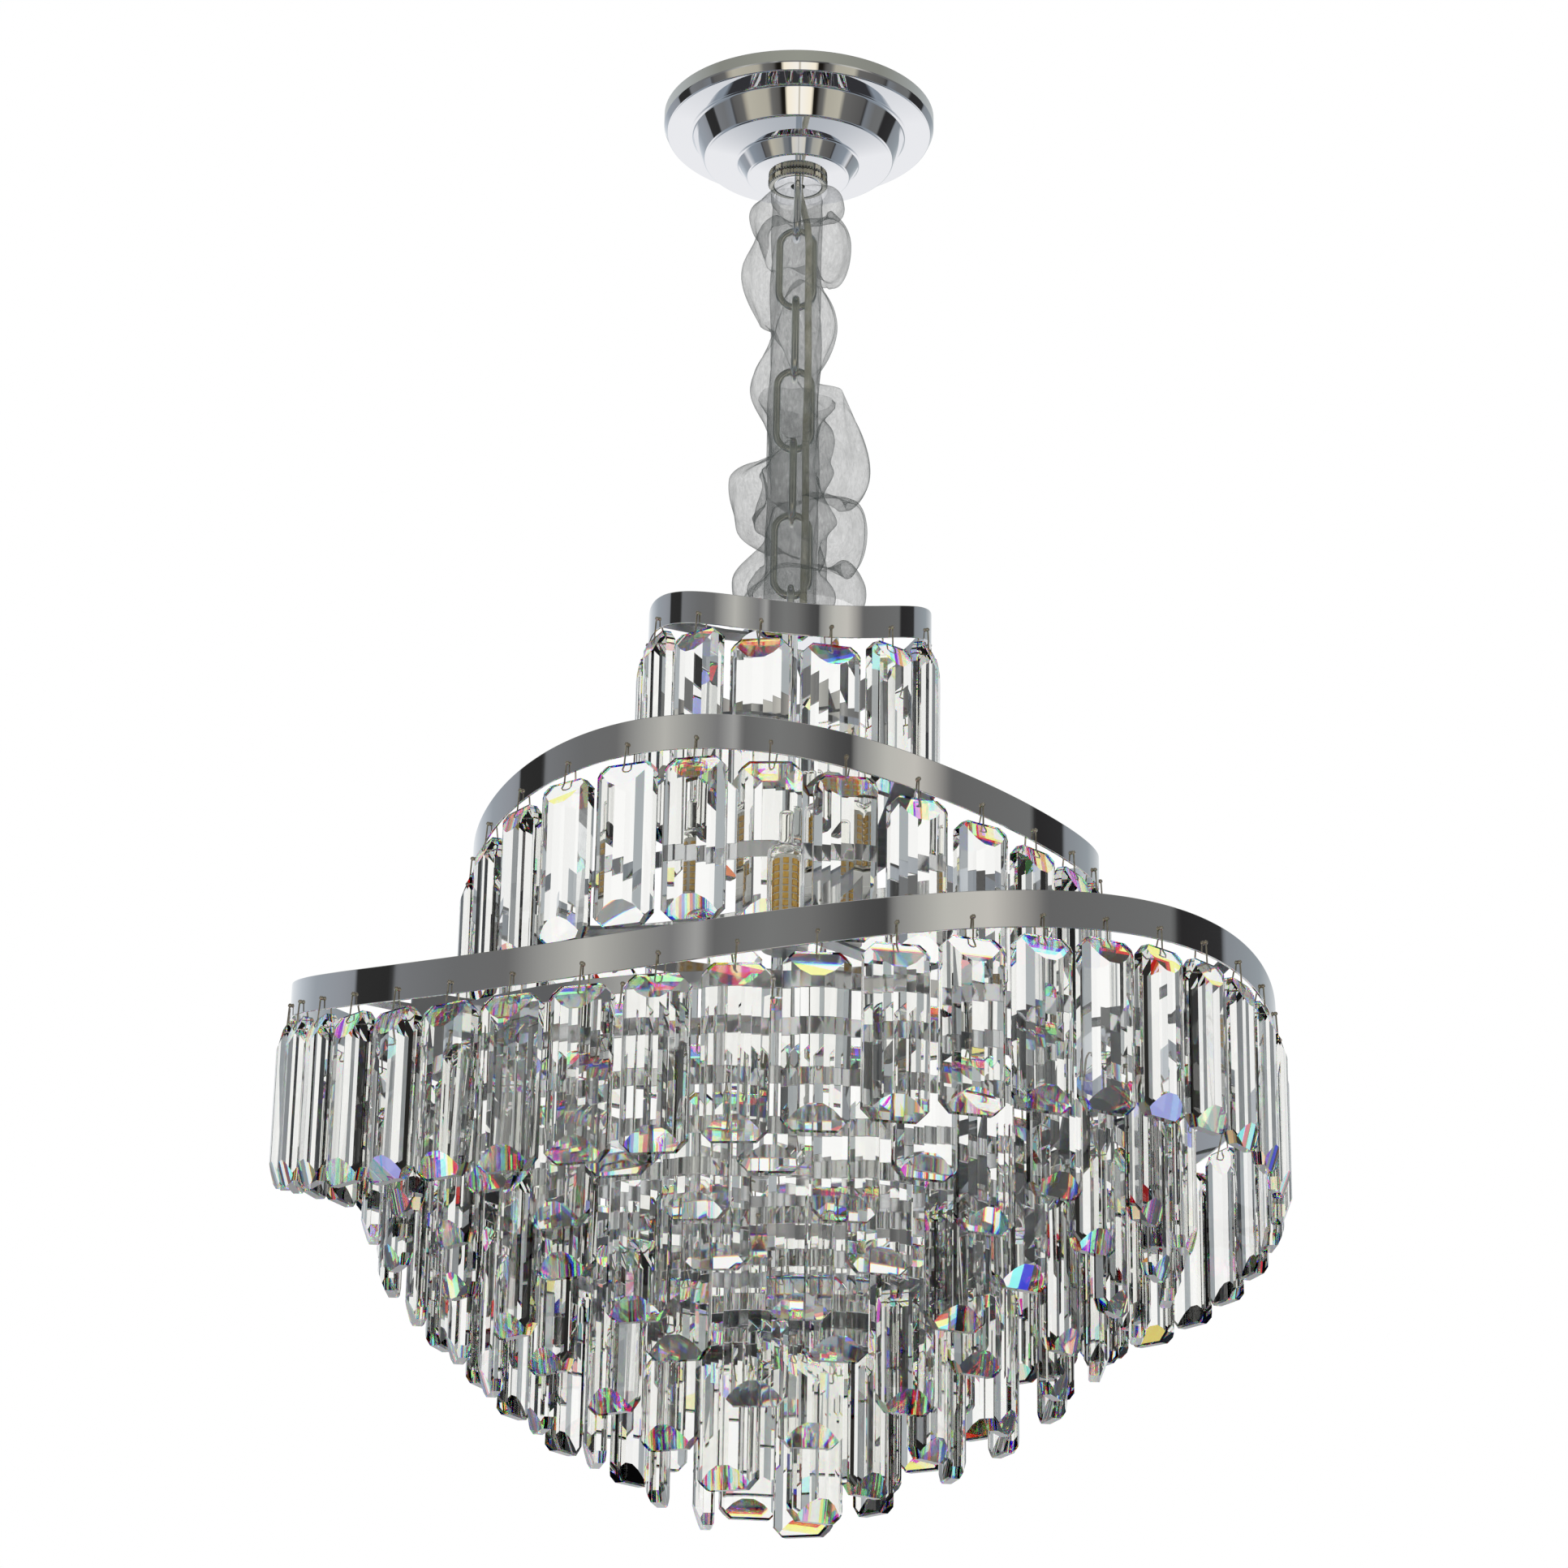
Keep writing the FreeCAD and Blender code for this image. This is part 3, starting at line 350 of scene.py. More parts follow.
def turned(outline, count, steps=5, drop=0.0, wobble=None):
    """Corners and faces of a closed (out, up, radius) outline in millimetres, turned about the axis. The
    function wobble(angle, point) moves a corner outward."""
    section = rounded(outline, steps)
    corners = []
    faces = []
    for i in range(count):
        angle = 2 * math.pi * i / count
        for point in section:
            out = point.x + (wobble(angle, point) if wobble else 0)
            corners.append((out * MM * math.sin(angle), -out * MM * math.cos(angle), (point.y - drop) * MM))
    size = len(section)
    for i in range(count):
        for j in range(size):
            a, b = i * size, (i + 1) % count * size
            faces.append((a + j, a + (j + 1) % size, b + (j + 1) % size, b + j))
    return corners, faces


def carry(piece, body, slot, *nodes):
    """The piece rides on a body and stands for the nodes. The slot is not used."""
    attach(piece, body)
    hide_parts(*nodes)


plate = chrome("chrome_plate", "#f3f4f6", 0.02)
# Down the outside from the ceiling to the collar's hole, and back up the inside
CANOPY_STEPS = (
    (72, 0, 0.3), (72, -6.8, 2.5), (70.2, -10.9, 0.9), (56.6, -11.5, 2.2), (50.2, -26.2, 1.6), (32.4, -27.7, 2),
    (27, -36.3, 1.4), (13.5, -36.9, 0.3), (13.5, -35.7, 0.3), (26.1, -35.1, 0.6), (31.4, -26.5, 1),
    (49.3, -25, 1), (55.6, -10.3, 1), (69, -9.7, 0.8), (70.8, -6, 1), (70.8, 0, 0.3))
canopy = make_piece("canopy_shell", *turned(CANOPY_STEPS, 144, 8), plate, 40)
carry(canopy, "canopy", "polished_chrome", "canopy")


# ---- Lock ring: a brass ring with a knurled rim, chrome plated, screwed up on the collar to hold the
# canopy, whose polished underside mirrors its teeth as a second row.
RING_TOP = 36.95
TEETH = 56
TOOTH_DEPTH = 0.9
TEETH_FROM = 15
RING_SECTION = (
    (13.1, 0, 0), (14.6, 0, 0.2), (15.8, -0.7, 0.3), (15.8, -3.4, 0.3), (14.6, -4.1, 0.2), (13.1, -4.1, 0))


def knurl(angle, point):
    """The teeth of the rim, which lies beyond a radius."""
    if point.x < TEETH_FROM:
        return 0
    return -TOOTH_DEPTH * abs(((TEETH * angle / (2 * math.pi)) % 1) * 2 - 1)


lock_ring = make_piece("knurled_lock_ring", *turned(RING_SECTION, TEETH * 6, 2, RING_TOP, knurl),
                       chrome("knurled_plate", "#b5b5ae", 0.1), 35)
carry(lock_ring, "lock_ring", "polished_chrome", "lock_ring")


# ---- Collar with its loop: a turned collar on the threaded tube, and a bent steel loop below that the chain
# hangs on, both chrome plated.
def wire_shell(path, radius, sides, closed=False):
    """Corners and faces of round wire along a path in metres, its ends closed unless the path is."""
    count = len(path)
    path = [Vector(spot) for spot in path]
    ways = []
    for i in range(count):
        if closed:
            ways.append((path[(i + 1) % count] - path[i - 1]).normalized())
        else:
            ways.append((path[min(i + 1, count - 1)] - path[max(i - 1, 0)]).normalized())
    side = ways[0].orthogonal().normalized()
    corners = []
    for i in range(count):
        side = (side - ways[i] * side.dot(ways[i])).normalized()
        other = ways[i].cross(side)
        for j in range(sides):
            angle = 2 * math.pi * j / sides
            corners.append(path[i] + (side * math.cos(angle) + other * math.sin(angle)) * radius)
    faces = []
    for i in range(count if closed else count - 1):
        a, b = i * sides, (i + 1) % count * sides
        for j in range(sides):
            faces.append((a + j, a + (j + 1) % sides, b + (j + 1) % sides, b + j))
    if not closed:
        faces.append(tuple(reversed(range(sides))))
        faces.append(tuple(range((count - 1) * sides, count * sides)))
    return corners, faces


def joined(shells):
    """Several shells of corners and faces as one."""
    corners = []
    faces = []
    for more, sides in shells:
        faces += [tuple(corner + len(corners) for corner in face) for face in sides]
        corners += list(more)
    return corners, faces


def bow(centre, radius, foot, upward, steps=14):
    """A half turn in the YZ plane about a height, with two straight legs that end at foot."""
    sign = 1 if upward else -1
    turns = [math.pi * i / steps for i in range(steps + 1)]
    path = [(0, -radius * math.cos(turn), centre + sign * radius * math.sin(turn)) for turn in turns]
    return [(0, -radius, foot)] + path + [(0, radius, foot)]


LOOP_WIRE = 4
LOOP_RADIUS = 8
COLLAR_LOOP_BOW = -71.45
COLLAR_STEPS = ((5.1, -19, 0), (13, -19, 0.4), (13, -41, 1.2), (3.6, -41, 0.3), (3.6, -26, 0), (5.1, -26, 0))
LOOP_FOOT = -40.2
collar = turned(COLLAR_STEPS, 96)
loop = wire_shell(bow((COLLAR_LOOP_BOW + LOOP_RADIUS) * MM, LOOP_RADIUS * MM, LOOP_FOOT * MM, False),
                  LOOP_WIRE / 2 * MM, 16)
collar_piece = make_piece("collar_with_loop", *joined([collar, loop]), plate, 40)
carry(collar_piece, "root", "polished_chrome", "collar_loop")


# ---- Chain: oval links of round steel wire, butted and welded, chrome plated. Each hangs in the one above,
# a quarter turn round from it.
LINK_WIRE = 4
LINK_INSIDE = 40.8
LINK_WIDTH = 22
LINK_TOP = 69.4
LINK_PLAY = 0.1
LINK_COUNT = 5
link_metal = chrome("chrome_wire", "#e2e2da", 0.22)


def link_path(middle, across_x, steps=12):
    """The wire's centre line round one link, in millimetres."""
    radius = (LINK_WIDTH - LINK_WIRE) / 2
    straight = (LINK_INSIDE + LINK_WIRE) / 2 - radius
    path = []
    for end in (1, -1):
        for i in range(steps + 1):
            turn = math.pi * i / steps
            out = end * radius * math.cos(turn)
            up = end * (straight + radius * math.sin(turn))
            path.append(((out if across_x else 0) * MM, (0 if across_x else out) * MM, (middle + up) * MM))
    return path


for number in range(1, LINK_COUNT + 1):
    middle = -LINK_TOP - LINK_INSIDE / 2 - (number - 1) * (LINK_INSIDE - LINK_PLAY)
    link = make_piece("oval_link_%d" % number, *wire_shell(
        link_path(middle, number % 2 == 1), LINK_WIRE / 2 * MM, 14, True), link_metal, 60)
    carry(link, "chain", "chain_chrome", "chain_link_%d" % number)


# ---- Supply cable: two copper cores in a clear PVC sheath, which yellows the light a little. It leaves the
# collar's bore, runs down beside the chain and ends at the hub.
CABLE_RADIUS = 1.9
CABLE_ROUTE = ((0, 0, -27), (0.4, -0.6, -44), (3.6, -2.8, -57), (6.6, -5.4, -72), (6.4, -5.6, -112),
               (7.2, -5.2, -150), (6.2, -5.8, -190), (7, -5.4, -228), (6.4, -5.6, -262), (6.6, -5.2, -290.3))


def clear_pvc():
    """A clear sheath, with the cores showing through in patches."""
    material, tree, output = new_material("clear_pvc_flex")
    tone = ramp_node(tree, noise(tree, 9 * MM, 1.0), ((0.35, "#c4c0a8"), (0.65, "#e6e3d2")))
    sheath = add_node(tree, "ShaderNodeBsdfPrincipled", {
        "Base Color": tone, "Roughness": 0.22, "IOR": 1.53, "Transmission Weight": 0.2, "Coat Weight": 0.5})
    finish_material(tree, output, sheath)
    return material


def spline_line(name, route):
    """The points along a smooth curve whose control points are the route."""
    curve = bpy.data.curves.new(name, "CURVE")
    curve.dimensions = "3D"
    curve.resolution_u = 12
    spline = curve.splines.new("NURBS")
    spline.points.add(len(route) - 1)
    for point, spot in zip(spline.points, route):
        point.co = (*[value * MM for value in spot], 1)
    spline.order_u = 3
    spline.use_endpoint_u = True
    holder = bpy.data.objects.new(name, curve)
    mesh = bpy.data.meshes.new_from_object(holder)
    line = [corner.co.copy() for corner in mesh.vertices]
    bpy.data.objects.remove(holder)
    return line


cable_line = spline_line("cable_line", CABLE_ROUTE)
cable = make_piece("clear_flex", *wire_shell(cable_line, CABLE_RADIUS * MM, 16), clear_pvc(), 60)
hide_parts("supply_cable")
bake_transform(cable)
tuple(cable_line[0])


# ---- Sleeve: a tube of grey organza, over twice as long as the chain and pushed up over it, so that it gathers
# in slow spiral ruffles. It is sheer, and each further layer of it is darker.
SLEEVE_TOP = 43.8
SLEEVE_FOOT = 283.5
CHAIN_ROOM = 12.3
INNER_TOP = 48
INNER_FOLDS_TOP = 165
# Its outline against the light, down the left and the right side: height and reach from the axis
LEFT_EDGE = (
    (-42, 14.3), (-50, 14.5), (-60, 23.5), (-73, 18.5), (-94, 26), (-112, 20), (-122, 12.6), (-140, 15),
    (-160, 21), (-180, 12.4), (-192, 12.6), (-205, 12.4), (-217, 30), (-228, 29), (-240, 13), (-256, 14),
    (-264, 28), (-284, 26))
RIGHT_EDGE = (
    (-42, 14.6), (-51, 24), (-60, 19), (-76, 27), (-104, 16), (-125, 21), (-141, 14), (-159, 15),
    (-172, 28), (-206, 37), (-222, 32), (-239, 37), (-262, 29), (-277, 36), (-284, 35))
# Half turns of its spiral, by height
WINDING = (
    (-42, -1.2), (-51, -0.5), (-60, 0.5), (-76, 1.5), (-94, 2.5), (-125, 3.5), (-160, 4.5), (-206, 5.5),
    (-222, 6.5), (-239, 7.5), (-259, 8.5), (-277, 9.5), (-284, 10))


def between(table, height, soft=True):
    """A reading of a falling table of (height, value) pairs, in smooth or straight steps."""
    for (high, first), (low, last) in zip(table, table[1:]):
        if height >= low:
            share = min(max((high - height) / (high - low), 0), 1)
            if soft:
                share = share * share * (3 - 2 * share)
            return first + (last - first) * share
    return table[-1][1]


def organza():
    """Fine plain weave of thin polyester: see-through face on, denser where it turns away."""
    material, tree, output = new_material("grey_organza")
    place = add_node(tree, "ShaderNodeTexCoord").outputs["Object"]
    stretched = add_node(tree, "ShaderNodeMapping", {"Vector": place, "Rotation": (0.0, 0.5, 0.3),
                                                     "Scale": (1.0, 1.0, 0.35)})
    ripple = add_node(tree, "ShaderNodeTexNoise", {"Vector": stretched.outputs[0], "Scale": 1 / (2.2 * MM),
                                                   "Detail": 2.0, "Distortion": 1.5})
    turned_away = add_node(tree, "ShaderNodeLayerWeight", {"Blend": 0.5})
    dense = ramp_node(tree, turned_away.outputs["Facing"], (
        (0.0, "#828282"), (0.5, "#8e8e8e"), (0.78, "#b0b0b0"), (0.92, "#dedede"), (1.0, "#f8f8f8")))
    lines = ranged(tree, ripple.outputs[0], -0.07, 0.07, 0.3, 0.7)
    patches = ranged(tree, noise(tree, 14 * MM, 3.0), -0.1, 0.1)
    dense = add_node(tree, "ShaderNodeMath", {0: dense, 1: lines})
    dense = add_node(tree, "ShaderNodeMath", {0: dense.outputs[0], 1: patches}, use_clamp=True)
    relief = add_node(tree, "ShaderNodeBump", {
        "Height": ripple.outputs[0], "Strength": 0.25, "Distance": 0.3 * MM})
    threads = add_node(tree, "ShaderNodeBsdfPrincipled", {
        "Base Color": colour("#4e5553"), "Roughness": 0.6, "Sheen Weight": 0.05, "Normal": relief.outputs[0]})
    gaps = add_node(tree, "ShaderNodeBsdfTransparent", {"Color": (1.0, 1.0, 1.0, 1.0)})
    cloth = add_node(tree, "ShaderNodeMixShader", {
        0: dense.outputs[0], 1: gaps.outputs[0], 2: threads.outputs[0]})
    finish_material(tree, output, cloth)
    return material


def wrapped(rows, count, spot):
    """A tube of cloth from spot(share down, angle), which gives its corners in millimetres."""
    corners = [[value * MM for value in spot(i / rows, 2 * math.pi * j / count)]
               for i in range(rows + 1) for j in range(count)]
    faces = []
    for i in range(rows):
        for j in range(count):
            a, b = i * count + j, i * count + (j + 1) % count
            faces.append((a, b, b + count, a + count))
    return corners, faces


def ruffles(share, angle):
    """The outer folds: the measured outline, wound in a spiral that laps over itself where it is gathered."""
    height = -SLEEVE_TOP - share * (SLEEVE_FOOT - SLEEVE_TOP)
    ease = min(share / 0.04, (1 - share) / 0.04, 1)
    pace = math.pi * (between(WINDING, height - 4, False) - between(WINDING, height + 4, False)) / 8
    wound = math.pi * between(WINDING, height, False)
    phase = wound + angle + 0.45 * math.sin(2 * angle + height / 23) + 0.3 * math.sin(3 * angle - height / 17)
    tight = 1.5 + 0.45 * math.sin(2 * angle + height / 31) + 0.25 * math.sin(5 * angle - height / 13)
    lift = ease * (math.sin(3 * angle + height / 12) - tight / max(pace, 0.15) * math.sin(phase))
    tuck = 1 + ease * (0.12 * (math.cos(phase) - 0.4) + 0.03 * math.sin(4 * angle + height / 9)
                       + 0.02 * math.sin(9 * angle + height / 6))
    left, right = between(LEFT_EDGE, height), between(RIGHT_EDGE, height)
    x = math.sin(angle) * max((right if math.sin(angle) > 0 else left) * tuck, CHAIN_ROOM)
    y = -math.cos(angle) * max((6 + 0.33 * (left + right)) * (1 + 2 * (tuck - 1)), CHAIN_ROOM)
    return x, y, min(max(height + lift, -SLEEVE_FOOT), -SLEEVE_TOP)


def lining(share, angle):
    """The cloth between the folds, drawn in round the chain in soft pleats."""
    height = -INNER_TOP - share * (SLEEVE_FOOT - INNER_TOP)
    out = CHAIN_ROOM + 0.7 + 0.6 * math.sin(7 * angle + height / 9) + 0.5 * math.sin(3 * angle - height / 14)
    return out * math.sin(angle), -out * math.cos(angle), height


def inner_folds(share, angle):
    """More folds between these two in the lower half, where most of the cloth has sunk."""
    height = -INNER_FOLDS_TOP - share * (SLEEVE_FOOT - INNER_FOLDS_TOP)
    reach = between(RIGHT_EDGE if math.sin(angle) > 0 else LEFT_EDGE, height)
    wide = 18 + 3.5 * math.sin(2 * angle + height / 6) + 2 * math.sin(5 * angle - height / 9)
    drop = 2.5 * math.sin(2 * angle - height / 5) * math.sin(math.pi * share)
    out = max(min(wide, 0.95 * (reach + (wide - reach) * math.cos(angle) ** 2)), CHAIN_ROOM + 1.5)
    return out * math.sin(angle), -out * math.cos(angle), height + drop


sleeve = make_piece("organza_sleeve", *joined([
    wrapped(420, 120, ruffles), wrapped(120, 72, lining), wrapped(90, 72, inner_folds)]), organza(), 180)
sleeve.visible_glossy = False
carry(sleeve, "chain", "grey_organza", "sleeve")
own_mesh(sleeve)


# ---- Hub, rod and collars: turned steel, polished and chrome plated. The hub's loop takes the chain, and the
# rod below it carries every arm and rib.
HUB_TOP = 292
HUB_LOOP_BOW = -270.95
hub_loop = make_piece("hub_loop_bow", *wire_shell(
    bow((HUB_LOOP_BOW - LOOP_RADIUS) * MM, LOOP_RADIUS * MM, (-HUB_TOP - 0.8) * MM, True),
    LOOP_WIRE / 2 * MM, 16), plate, 40)
carry(hub_loop, "lamp", "polished_chrome", "hub_loop")
for node in ("hub_plate", "stem", "arm_collar", "rib_collar", "end_nut"):
    repaint(node, plate)


# ---- Arms and ribs: cold-rolled steel strip, polished along its length and welded. It mirrors in streaks
# and looks dark between the crystals.
def rolled_strip():
    """Steel strip with streaks along it."""
    material, tree, output = new_material("polished_strip_steel")
    place = add_node(tree, "ShaderNodeTexCoord").outputs["Object"]
    stretched = add_node(tree, "ShaderNodeMapping", {"Vector": place, "Scale": (40.0, 40.0, 900.0)})
    streaks = add_node(tree, "ShaderNodeTexNoise", {
        "Vector": stretched.outputs[0], "Scale": 1.0, "Detail": 3.0})
    rough = ranged(tree, streaks.outputs[0], 0.12, 0.3)
    strip = add_node(tree, "ShaderNodeBsdfPrincipled", {
        "Base Color": colour("#8e9196"), "Metallic": 1.0, "Roughness": rough})
    finish_material(tree, output, strip)
    return material


strip_steel = rolled_strip()
for node in ("ring_1_arms", "ring_2_arms", "ring_3_arms", "ribs"):
    repaint(node, strip_steel)


# ---- Wavy hoops: mirror-polished stainless strip, cut to a wave and rolled to a circle.
# Each rises and falls twice round, so that the lamp looks like one long spiral.
BAND_HEIGHT = 17
BAND_WALL = 1.2
# Number: radius, drop of its top edge, wave, crest, tilt, high side, crystals, first crystal
BANDS = {1: (72, 297, 11.3, -79, 2.2, 55, 13, -11.3),
         2: (155.5, 406, 17.3, -25.6, 4.1, 130.5, 28, -2.9),
         3: (240, 506, 24.7, 57.3, 8.5, -69.9, 44, -13)}
mirror = chrome("mirror_stainless_strip", "#f2f2f2", 0.04)


def wave_top(number, angle):
    """Height of a wavy hoop's top edge, in millimetres."""
    radius, drop, wave, crest, tilt, high = BANDS[number][:6]
    lean = tilt * math.cos(angle - math.radians(high))
    return wave * math.cos(2 * (angle - math.radians(crest))) + lean - drop


def strip_hoop(radius, wall, height, top, count, edge=0.3):
    """A hoop of strip with softened edges. Its top edge follows the function top(angle)."""
    section = rounded(((radius, 0, edge), (radius - wall, 0, edge), (radius - wall, -height, edge),
                       (radius, -height, edge)), 2)
    corners = []
    faces = []
    size = len(section)
    for i in range(count):
        angle = 2 * math.pi * i / count
        for point in section:
            up = (point.y + top(angle)) * MM
            corners.append((point.x * MM * math.sin(angle), -point.x * MM * math.cos(angle), up))
        a, b = i * size, (i + 1) % count * size
        for j in range(size):
            faces.append((a + j, b + j, b + (j + 1) % size, a + (j + 1) % size))
    return corners, faces


for number, band in BANDS.items():
    shell = strip_hoop(band[0], BAND_WALL, BAND_HEIGHT, lambda angle: wave_top(number, angle), 360)
    hoop = make_piece("wavy_hoop_%d" % number, *shell, mirror, 50)
    carry(hoop, "lamp", "mirror_band", "wavy_band_%d" % number)


# ---- Flat hoops of the lower cone: narrow mirror-polished strip, rolled and welded under the ribs, each
# lower and smaller than the last. One more stands on the arms of the middle hoop, and carries no crystals.
HOOP_HEIGHT = 8
HOOP_WALL = 1
# Radius, drop of its top edge, crystals, first crystal
HOOPS = (
    (195, 528, 18, -1.3), (187, 547, 18, 8.7), (172, 566, 15, -9.3), (152, 584, 13, 3.5), (136, 599, 12, 11),
    (113, 616, 10, -5), (86, 630, 8, 10.5), (56, 645, 5, -23), (33, 656, 3, 35))
PLAIN_HOOP_RADIUS = 110
PLAIN_HOOP_DROP = 442
hoop_metal = chrome("mirror_stainless_hoop", "#d8d9db", 0.06)
for number, (radius, drop, *_) in enumerate(HOOPS, 1):
    shell = strip_hoop(radius, HOOP_WALL, HOOP_HEIGHT, lambda angle: -drop, 180, 0.2)
    hoop = make_piece("flat_hoop_%d" % number, *shell, hoop_metal, 30)
    carry(hoop, "lamp", "mirror_hoop", "lower_band_%d" % number)


shell = strip_hoop(PLAIN_HOOP_RADIUS, HOOP_WALL, HOOP_HEIGHT, lambda angle: -PLAIN_HOOP_DROP, 180, 0.2)
plain_hoop = make_piece("plain_hoop_ring", *shell, hoop_metal, 30)
carry(plain_hoop, "lamp", "mirror_hoop", "plain_hoop")


# ---- Crystals: pressed lead-free crystal glass, ground and polished. Each has seven long facets in front, a
# flat back, cut corners and a half-moon facet at each end, and spreads white light into colours.
CRYSTAL_LENGTH = 77.6
CRYSTAL_HALF = 14.7
CRYSTAL_FRONT = 6.5
CRYSTAL_EDGE = 1.8
CRYSTAL_BACK = 3.5
CORNER_CUT = 5
BACK_BEVEL = 0.9
TOP_MOON = 12
FOOT_MOON = 11
FACET_LINES = (-14.7, -11.2, -7.4, -2.9, 2.9, 7.4, 11.2, 14.7)


def crystal_glass(name, code, rainbow):
    """Crystal glass. For the rainbow share each of red, green and blue has its own index, a little further
    apart than real."""
    material, tree, output = new_material(name)
    clear = add_node(tree, "ShaderNodeBsdfGlass", {"Color": colour(code), "Roughness": 0.0, "IOR": 1.52})
    parts = []
    for primary, index in (("#ff0000", 1.485), ("#00ff00", 1.52), ("#0000ff", 1.56)):
        parts.append(add_node(tree, "ShaderNodeBsdfGlass", {
            "Color": colour(primary), "Roughness": 0.0, "IOR": index}))
    spread = add_node(tree, "ShaderNodeAddShader", {0: parts[0].outputs[0], 1: parts[1].outputs[0]})
    spread = add_node(tree, "ShaderNodeAddShader", {0: spread.outputs[0], 1: parts[2].outputs[0]})
    mix = add_node(tree, "ShaderNodeMixShader", {0: rainbow, 1: clear.outputs[0], 2: spread.outputs[0]})
    finish_material(tree, output, mix)
    return material


def cut_away(block, point, outward):
    """Cuts off the side of a convex block that lies beyond a plane, and closes it."""
    parts = block.verts[:] + block.edges[:] + block.faces[:]
    bmesh.ops.bisect_plane(block, geom=parts, plane_co=point, plane_no=outward, clear_outer=True, dist=1e-6)
    rim = [edge for edge in block.edges if edge.is_boundary]
    bmesh.ops.holes_fill(block, edges=rim)


def cut_crystal():
    """The cut stone, from a block: corners and faces in millimetres, its top's middle at the origin."""
    block = bmesh.new()
    bmesh.ops.create_cube(block, size=1)
    bmesh.ops.scale(block, vec=(2 * CRYSTAL_HALF, 2 * CRYSTAL_FRONT, CRYSTAL_LENGTH), verts=block.verts)
    bmesh.ops.translate(block, vec=(0, 0, -CRYSTAL_LENGTH / 2), verts=block.verts)
    cut_away(block, (0, CRYSTAL_BACK, 0), (0, 1, 0))
    fall = CRYSTAL_FRONT - CRYSTAL_EDGE
    back = CRYSTAL_BACK - BACK_BEVEL
    belly = [-CRYSTAL_FRONT + fall * (line / CRYSTAL_HALF) ** 2 for line in FACET_LINES]
    for (left, start), (right, end) in zip(zip(FACET_LINES, belly), zip(FACET_LINES[1:], belly[1:])):
        cut_away(block, (left, start, 0), Vector((end - start, left - right, 0)).normalized())
    for side in (-1, 1):
        cut_away(block, (side * CRYSTAL_HALF, back, 0), Vector((side, 1, 0)).normalized())
        for end in (0, -CRYSTAL_LENGTH):
            up = 1 if end == 0 else -1
            cut_away(block, (side * CRYSTAL_HALF, 0, end - up * CORNER_CUT),
                     Vector((side, 0, up)).normalized())
            cut_away(block, (side * (CRYSTAL_HALF - CORNER_CUT / 2), back, end - up * CORNER_CUT / 2),
                     Vector((side, 1.4, up)).normalized())
    for end, moon in ((0, TOP_MOON), (-CRYSTAL_LENGTH, FOOT_MOON)):
        up = 1 if end == 0 else -1
        cut_away(block, (0, -CRYSTAL_EDGE, end), Vector((0, -moon, up * fall)).normalized())
        cut_away(block, (0, back, end), Vector((0, 1, up)).normalized())
    bmesh.ops.dissolve_limit(block, angle_limit=math.radians(0.5), verts=block.verts, edges=block.edges)
    bmesh.ops.recalc_face_normals(block, faces=block.faces)
    block.verts.index_update()
    corners = [corner.co.copy() for corner in block.verts]
    faces = [tuple(corner.index for corner in face.verts) for face in block.faces]
    block.free()
    return corners, faces


CRYSTAL_GAP = 4.4
CRYSTAL_CLEAR = 0.4
# A face whose normal leans up or down by more than this is a cut end, and any other is a long facet
END_SLOPE = 0.15
stone = cut_crystal()
glass = crystal_glass("crystal_glass", "#fefefd", 0.0)
cut_glass = crystal_glass("crystal_cut_ends", "#fdfefb", 0.7)
shake = random.Random(187)


def hang_places(radius, count, first, foot):
    """Where the crystals of a hoop hang: the foot of the strip, its angle, and the gap below it."""
    shoulder = (CRYSTAL_HALF - CORNER_CUT) / radius
    for i in range(count):
        angle = math.radians(first) + 2 * math.pi * i / count
        fall = foot(angle) - min(foot(angle - shoulder), foot(angle + shoulder))
        yield angle, foot(angle), max(CRYSTAL_GAP, fall + CRYSTAL_CLEAR)


def set_out(shell, radius, angle, height, swing=0.0):
    """A shell in millimetres, set facing out on a circle at an angle and height."""
    place = (Matrix.Rotation(angle, 4, "Z") @ Matrix.Translation((0, -radius, height))
             @ Matrix.Rotation(swing, 4, "Z"))
    corners, faces = shell
    return [(place @ Vector(corner)) * MM for corner in corners], faces


def band_foot(number):
    """The function for the height of a wavy hoop's foot at an angle."""
    return lambda angle: wave_top(number, angle) - BAND_HEIGHT


def hoop_foot(drop):
    """The function for the height of a flat hoop's foot at an angle."""
    return lambda angle: -drop - HOOP_HEIGHT


BAND_HOLE = 5.2
HOOP_HOLE = 4.0
# Name, replaced node, strip's middle radius, crystals, first one, foot of the strip, hole above the foot, wall
HANGINGS = [
    ("crystals_on_ring_%d" % number, "ring_crystals_%d" % number, band[0] - BAND_WALL / 2, band[6], band[7],
     band_foot(number), BAND_HOLE, BAND_WALL)
    for number, band in BANDS.items()]
HANGINGS += [
    ("crystals_on_hoop_%d" % number, "lower_crystals_%d" % number, radius - HOOP_WALL / 2, count, first,
     hoop_foot(drop), HOOP_HOLE, HOOP_WALL)
    for number, (radius, drop, count, first) in enumerate(HOOPS, 1)]
SWING = math.radians(2.5)
for name, node, radius, count, first, foot, hole, wall in HANGINGS:
    shells = [set_out(stone, radius, angle, height - gap, shake.uniform(-SWING, SWING))
              for angle, height, gap in hang_places(radius, count, first, foot)]
    crystals = make_piece(name, *joined(shells), glass)
    crystals.data.materials.append(cut_glass)
    for face in crystals.data.polygons:
        face.material_index = 1 if abs(face.normal.z) > END_SLOPE else 0
    carry(crystals, "lamp", "crystal_glass", node)


# ---- Hooks: hairpins of thin steel wire with a ball head. The head sits on the front of the strip, one leg
# falls before it and one behind, and they meet in the crystal's hole.
PIN_RADIUS = 0.4
HEAD_RADIUS = 1.1
HOOK_REACH = 4.4


